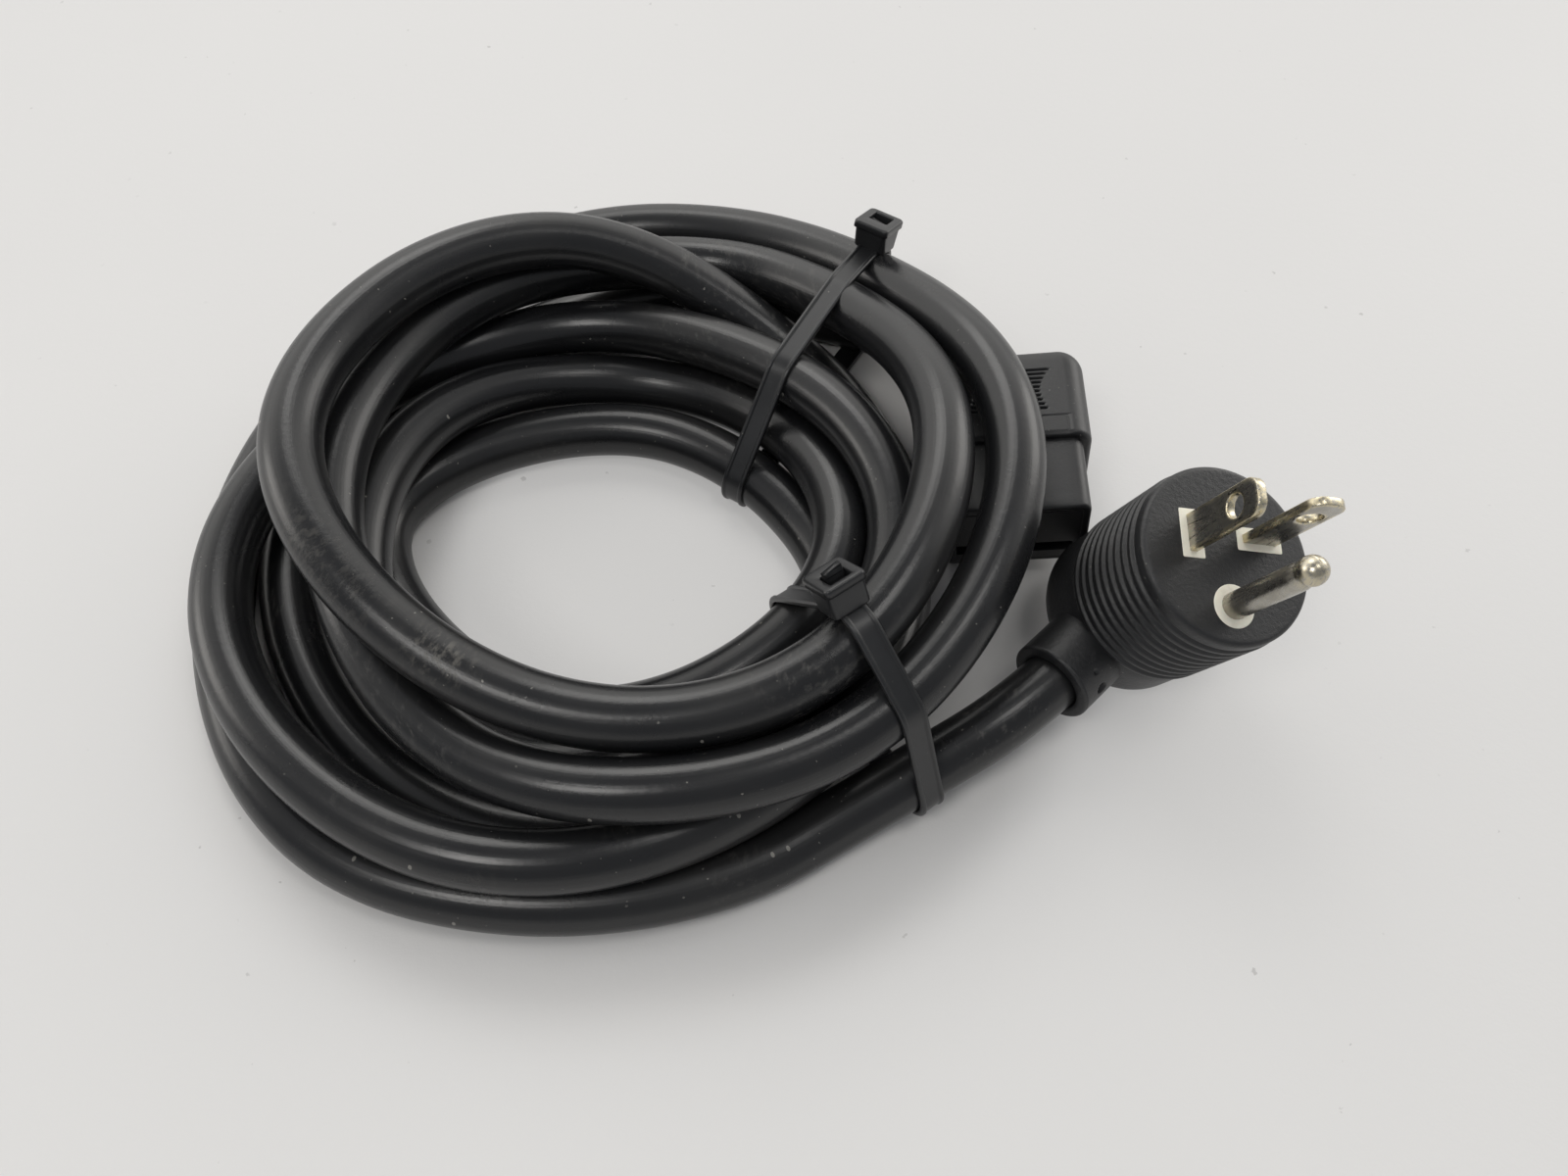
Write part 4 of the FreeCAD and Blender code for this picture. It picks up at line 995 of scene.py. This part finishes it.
def blade_outline(half, low, high):
    """Outline of a blade, counterclockwise: square foot, round shoulders of 2.4 mm."""
    shoulder = 0.0024
    top = high - shoulder
    right = arc(quarter(0, 90, 10), shoulder, half - shoulder, top)
    left = right[::-1] * [-1, 1]
    return np.concatenate([np.linspace((half, low), (half, top), 26)[:-1], right,
                           np.linspace(right[-1], left[0], 8)[1:-1], left,
                           np.linspace((-half, top), (-half, low), 26)[1:],
                           np.linspace((-half, low), (half, low), 14)[1:-1]])


def pin_rows(sizes):
    """The ground pin turned about its axis, with a narrow seam let into it.

    Its profile is a shank, a slight waist and a ball, and the seam takes off a small
    depth where the angle is near the seam's."""
    length, radius, sides = sizes.pin_length, 0.0024, 96
    shank = [(0.0019, -0.013), (0.0019, -0.0005), (radius - 0.0002, -0.0003)]
    shank += [(radius - 0.00012, z) for z in np.linspace(0, length - 0.0052, 24)]
    shank += [(radius - 0.0003, length - 0.0042)]
    profile = np.concatenate([shank, arc(quarter(-32, 84, 16), radius, 0, length - radius)])
    rows = carried_round(profile, sides)
    angle = around(sides)
    away = np.abs((angle - math.radians(118) + np.pi) % (2 * np.pi) - np.pi)
    seam = 0.00028 * bowl(away * radius / 0.00022)
    depth = np.where(profile[:, 1] > -0.0002, 1, 0)[:, None] * seam[None]
    rows[..., :2] -= arc(angle, 1.0) * depth[..., None]
    worn = np.interp(profile[:, 1], [length - 0.005, length - 0.003, length], [0.1, 0.7, 0.5])
    return rows + [0, -PIN_FRONT, 0], np.repeat(worn[:, None], sides, 1)


class MESH_OT_blades(bpy.types.Operator):
    """Makes the two blades, the ground pin and the cream insert round them"""
    bl_idname = "mains_cord.blades"
    bl_label = "Blades, pin and insert"

    def execute(self, context):
        looks = context.scene.cord_looks
        sizes = context.scene.plug_sizes
        plate = plate_finish(looks)
        rows, rub = blade_rows(sizes)
        for name, side, turn in (("line_blade", -1, 90), ("neutral_blade", 1, 0)):
            local = rows @ turned(UP, turn).T + [side * BLADE_ASIDE, BLADE_BACK, 0]
            piece(name + "_plated", [skin(placed(local, PLUG), closed=True)], plate,
                  replaced=(name,), rub=rub)
        rows, worn = pin_rows(sizes)
        ends = [worn[0, 0], worn[-1, 0]]
        piece("ground_pin_plated", [skin(placed(rows, PLUG))], plate,
              replaced=("ground_pin",), rub=np.concatenate([worn.ravel(), ends]))
        parts = [soft_block(half_x, half_y, -INSERT_DEPTH, 0.00012, 0.0003, 0.00012)
                 + [side * BLADE_ASIDE, BLADE_BACK, 0]
                 for half_x, half_y, side in ((0.00205, 0.00425, -1), (0.00425, 0.00205, 1))]
        ring = np.array([(0.001, 0.00012), (0.0034, 0.00012), (0.0036, 0.00010),
                         (0.00372, 0.00004), (0.00375, -0.0002), (0.00375, -INSERT_DEPTH),
                         (0.001, -INSERT_DEPTH)])
        parts.append(carried_round(ring, 64) + [0, -PIN_FRONT, 0])
        disc = np.array([(0.004, -INSERT_DEPTH), (0.0124, -INSERT_DEPTH), (0.0126, -0.0067),
                         (0.0126, -0.0113), (0.0124, -0.0115), (0.004, -0.0115)])
        parts.append(carried_round(disc, 64))
        piece("insert_cream", [skin(placed(part, PLUG)) for part in parts],
              insert_finish(looks), replaced=("plug_bridge",))
        return {"FINISHED"}


def housing_rows(sizes):
    """The housing along its length: a round-cornered section, its ends rounded in.

    Half width and half height shrink towards the back by quarter circles, and the top
    and bottom are let in by ten thin grip grooves and the outline of a small plate."""
    half_w, half_h, length = sizes.width / 2, sizes.height / 2, sizes.length
    front, back_plan, back_side = 0.0010, 0.0050, 0.0036
    lead = front - front * np.sin(quarter(90, 0))
    middle = np.linspace(front, length - back_plan, 130)[1:]
    rear = length - back_plan + back_plan * np.sin(quarter(0, 84, 14))[1:]
    along = np.concatenate([[0.0], lead, middle, rear])
    shrink = np.array([set_in(front - along, front) + set_in(along - length + back, back)
                       for back in (back_plan, back_side)])
    shrink[:, 0] = 0.004
    rows = np.array([upright(rounded_outline(half_w - w, half_h - h,
                                             max(0.0040 - min(w, h), 0.0010), 10, 90),
                             y, half_h) for y, w, h in zip(along, *shrink)])
    x, y, z = rows[..., 0], rows[..., 1], rows[..., 2]
    depth = np.zeros_like(x)
    for i in range(GRIPS):
        at = length - 0.0061 - i * 0.00105
        reach = 0.0086 - 0.0016 * math.sin(math.pi * i / (GRIPS - 1)) - 0.00012 * i
        across = np.clip((reach - np.abs(x)) / 0.0003, 0, 1)
        depth = np.maximum(depth, 0.00055 * across * bowl((y - at) / 0.00032))
    plate = np.maximum(np.abs(x - 0.0073) - 0.0040, np.abs(y - 0.0026) - 0.0020)
    depth = np.maximum(depth, 0.00018 * bowl(plate / 0.00022))
    flat = np.where(z > half_h, 1, -1) * (np.abs(z - half_h) > half_h - 0.0002)
    rows[..., 2] -= depth * flat
    return rows


def nose_rows(sizes):
    """The nose as a ring: outer wall, round front rim, inner wall that holds the block."""
    front, edge = -sizes.nose_length, 0.0008
    outer_w, outer_h, inner_w, inner_h, corner = 0.01375, 0.0093, 0.01204, 0.00784, 0.0024
    stations = [(outer_w, outer_h, corner, y) for y in (0.0012, 0.0002, -0.0002, -0.007,
                                                        front + 0.002)]
    for back, fall in edge - arc(quarter(0, 90), edge):
        stations.append((outer_w - back, outer_h - back, corner - back, front + fall))
    stations += [(inner_w + 0.0003, inner_h + 0.0003, 0.0006, front),
                 (inner_w + 0.00008, inner_h + 0.00008, 0.0004, front + 0.00008),
                 (inner_w, inner_h, 0.0003, front + 0.0003), (inner_w, inner_h, 0.0003, 0.0012)]
    return np.array([upright(rounded_outline(w, h, corner, 8, 12), y, sizes.height / 2)
                     for w, h, corner, y in stations])


def boot_rows(sizes):
    """The boot along the last stretch of the cord: a taper with three shallow rings."""
    back = LINE["points"][::-1]
    run = np.linspace(0, sizes.boot_length, int(sizes.boot_length / RING_SPACING * 4))
    share = run / sizes.boot_length
    rings = bowl((run[:, None] - [0.0105, 0.0135, 0.0165]) / 0.0006).max(1)
    lip = np.clip((share - 0.97) / 0.03, 0, 1)
    radius = 0.0076 - 0.0019 * share - 0.0005 * rings - 0.0004 * lip ** 2
    return tube_rows(between(back, lengths(back), run + 0.0008), radius, 64)


class MESH_OT_connector(bpy.types.Operator):
    """Makes the housing, nose and boot of the appliance connector"""
    bl_idname = "mains_cord.connector"
    bl_label = "Connector moulding"

    def execute(self, context):
        looks = context.scene.cord_looks
        sizes = context.scene.connector_sizes
        finish = moulding_finish("connector moulding", looks.overmould_colour, 900.0,
                                 0.00003, 0.40, 0.25)
        skins = [skin(placed(housing_rows(sizes), CONNECTOR)),
                 skin(placed(nose_rows(sizes), CONNECTOR), closed=True),
                 skin(boot_rows(context.scene.cord_sizes))]
        piece("connector_moulding", skins, finish, replaced=("connector_body",))
        return {"FINISHED"}


def strand_crossings(line, middle, bearing):
    """Where the cord's line crosses an upright plane: distance out and height."""
    out = heading(bearing)
    side = np.cross(UP, out)
    local = line - middle
    across = local @ side
    swap = (across[:-1] * across[1:] <= 0) & (local[:-1] @ out > 0)
    share = (across[:-1] / (across[:-1] - across[1:] + 1e-12))[swap, None]
    spots = local[:-1][swap] + (local[1:][swap] - local[:-1][swap]) * share
    return np.column_stack([spots @ out, spots[:, 2]])


def strap_line(spots, radius, spacing):
    """The tight loop round circles: for each direction, the farthest circle's own edge."""
    way = arc(around(720), 1.0)
    loop = spots[np.argmax(spots @ way.T, axis=0)] + radius * way
    loop[:, 1] = np.maximum(loop[:, 1], radius - JACKET_RADIUS)
    closed = np.concatenate([loop, loop[:1]])
    run = lengths(closed)
    at = np.linspace(0, run[-1], int(run[-1] / spacing), endpoint=False)
    return between(closed, run, at)


def strap_rows(loop, sizes):
    """A flat strap along a closed loop in the plane of the tie: a round-edged section.

    The middle of its outer side is let in, which leaves a thin rail at each edge."""
    ahead = unit(np.roll(loop, -1, 0) - np.roll(loop, 1, 0))
    outward = np.column_stack([ahead[:, 1], -ahead[:, 0]])
    half_width = sizes.strap_width / 2
    section = rounded_outline(sizes.strap_thickness / 2, half_width, 0.0004, 4, 28)
    inside = np.clip((half_width - 0.0007 - np.abs(section[:, 1])) / 0.00025, 0, 1)
    section[:, 0] -= 0.00028 * inside * (section[:, 0] > 0)
    rows = loop[:, None] + section[None, :, :1] * outward[:, None]
    return np.stack([rows[..., 0], np.broadcast_to(section[:, 1], rows.shape[:2]),
                     rows[..., 1]], -1)


def head_rows():
    """The head: a tapered block pierced by the slot, all rims rounded.

    Rings run up the outside, over the top rim, down the slot and under the foot."""
    slot_x, slot_y, off, lip = 0.0018, 0.0020, 0.0011, 0.00035
    low, high, edge = 0.0001, 0.0063, 0.0005
    rims = edge - edge * np.sin(quarter(90, 0, 4)), edge - edge * np.cos(quarter(90, 0, 4))
    outside = [(low + rise, back, 0.0009) for rise, back in zip(*rims)]
    outside += [(0.0020, 0, 0.0006), (0.0034, 0, 0.0003), (0.0044, 0, 0.0001),
                (0.0046, 0, 0.0001), (0.00475, -lip, 0)]
    outside += [(high - edge + edge * math.sin(a), edge - edge * math.cos(a) - lip, 0)
                for a in quarter(0, 90, 5)]
    rows = [level(rounded_outline(0.0038 - inset - lean, 0.0035 - inset, 0.0009)
                  + [lean * 0.5, 0], height) for height, inset, lean in outside]
    for height, grow in ((high, 0.0003), (high - 0.0001, 0.0001), (high - 0.0004, 0),
                         (low + 0.0002, 0), (low, 0.0002)):
        ring = rounded_outline(slot_x + grow, slot_y + grow, 0.0002 + grow)
        rows.append(level(ring + [off - 0.0002, 0], height))
    return np.array(rows)


def tail_rows(sizes, length):
    """The cut end of the strap in the slot, with ridges on one side.

    The ridges are a saw wave of the height, and the end is cut slightly askew."""
    heights = np.linspace(0.00005, length, 90)
    half_w = sizes.strap_width / 2 - 0.0006
    ring = rounded_outline(sizes.strap_thickness / 2, half_w, 0.0002, 3, 5)
    ridged = (ring[:, 0] > 0) & (np.abs(ring[:, 1]) < half_w - 0.0005)
    rows = []
    for height, bite in zip(heights, 0.00018 * ((heights / 0.0009) % 1)):
        skew = np.where(height > length - 0.0002, 0.0003 * ring[:, 1] / half_w, 0)
        bitten = ring + [0.0002, 0] - bite * ridged[:, None] * [1, 0]
        rows.append(level(bitten, height + skew))
    return np.array(rows)


def pawl_rows():
    """The toothed tongue in the slot: a wedge whose inner side has three teeth.

    Its outer side leans in with the height, so it clears the slot's wall when it bends."""
    root, top, pitch, depth = 0.0015, 0.0043, 0.00093, 0.0003
    heights = np.linspace(root, top, 25)
    tooth = depth * ((heights - root) / pitch % 1)
    lean = depth * (heights - root) / (top - root)
    return np.array([level(rounded_outline(0.00055 - (bite + back) / 2, 0.0017, 0.0001, 3, 4)
                           + [0.0016 + (bite - back) / 2, 0], height)
                     for height, bite, back in zip(heights, tooth, lean)])


class MESH_OT_ties(bpy.types.Operator):
    """Draws the two cable ties round the strands, each with its head and tongue"""
    bl_idname = "mains_cord.ties"
    bl_label = "Cable ties"

    def execute(self, context):
        looks = context.scene.cord_looks
        sizes = context.scene.tie_sizes
        nylon = moulding_finish("tie nylon", looks.nylon_colour, 700.0, 0.00001, 0.34, 0.1)
        hinges = {joint["name"]: np.array(joint["pos_m"]) for joint in frame["joints"]}
        for name, (aside, bearing, facing, length) in TIES.items():
            middle = MIDDLE + aside
            turn = turned(UP, bearing) @ turned((0, 1, 0), 90 - facing)
            seat = (hinges[name + "_pawl_hinge"] - turn @ PAWL_FROM_SEAT, turn)
            foot = turned(UP, -bearing) @ (seat[0] - turn @ UP * JACKET_RADIUS - middle)
            spots = strand_crossings(LINE["points"], middle, bearing)
            spots = np.concatenate([spots, [[foot[0], foot[2]]]])
            loop = strap_line(spots, JACKET_RADIUS + sizes.strap_thickness / 2, 0.0008)
            strap = placed(strap_rows(loop, sizes), (middle, turned(UP, bearing)))
            skins = [skin(strap, closed=True), skin(placed(head_rows(), seat), closed=True),
                     skin(placed(tail_rows(sizes, length), seat))]
            piece(name + "_cable_tie", skins, nylon, replaced=(name + "_tie",))
            piece(name + "_tongue", [skin(placed(pawl_rows(), seat))], nylon,
                  body=name + "_pawl_body", replaced=(name + "_pawl",))
        return {"FINISHED"}


class MESH_OT_inner_parts(bpy.types.Operator):
    """Gives the block, the contacts and the cores inside the ends their finishes"""
    bl_idname = "mains_cord.inner_parts"
    bl_label = "Block, contacts and cores"

    def execute(self, context):
        looks = context.scene.cord_looks
        finishes = {
            "connector_core": moulding_finish("block thermoset", (0.012, 0.012, 0.013),
                                              1200.0, 0.00002, 0.45, 0.1),
        }
        brass = contact_finish(looks)
        for name in ("line_contact", "neutral_contact", "ground_contact"):
            finishes[name] = brass
        for core, colour in (("line", (0.02, 0.02, 0.02)), ("neutral", (0.7, 0.7, 0.68)),
                             ("ground", (0.03, 0.25, 0.06))):
            sheath = sheath_finish(core + " core", colour)
            finishes["plug_%s_wire" % core] = sheath
            finishes["connector_%s_wire" % core] = sheath
        for name, finish in finishes.items():
            node = frame["nodes"][name]
            for slot in node.material_slots:
                slot.material = finish
        return {"FINISHED"}


class VIEW3D_PT_mains_cord(bpy.types.Panel):
    """Sizes, colours and steps of the mains cord"""
    bl_idname = "VIEW3D_PT_mains_cord"
    bl_label = "Mains Cord"
    bl_space_type = "VIEW_3D"
    bl_region_type = "UI"
    bl_category = "Mains Cord"

    def draw(self, context):
        for name in SETTINGS:
            box = self.layout.box()
            settings = getattr(context.scene, name)
            for key in settings.bl_rna.properties.keys():
                if key not in ("rna_type", "name"):
                    box.prop(settings, key)
        for step in STEPS:
            self.layout.operator(step.bl_idname)


SETTINGS = {"cord_sizes": CordSizes, "plug_sizes": PlugSizes,
            "connector_sizes": ConnectorSizes, "tie_sizes": TieSizes,
            "cord_looks": CordLooks}
STEPS = (SCENE_OT_stage, MESH_OT_jacket, MESH_OT_plug, MESH_OT_blades, MESH_OT_connector,
         MESH_OT_ties, MESH_OT_inner_parts)


def register():
    for kind in tuple(SETTINGS.values()) + STEPS + (VIEW3D_PT_mains_cord,):
        bpy.utils.register_class(kind)
    for name, kind in SETTINGS.items():
        setattr(bpy.types.Scene, name, bpy.props.PointerProperty(type=kind))


def unregister():
    for name in SETTINGS:
        delattr(bpy.types.Scene, name)
    for kind in (VIEW3D_PT_mains_cord,) + STEPS[::-1] + tuple(SETTINGS.values()):
        bpy.utils.unregister_class(kind)


def main():
    register()
    for step in STEPS:
        family, name = step.bl_idname.split(".")
        getattr(getattr(bpy.ops, family), name)()


if __name__ == "__main__":
    main()
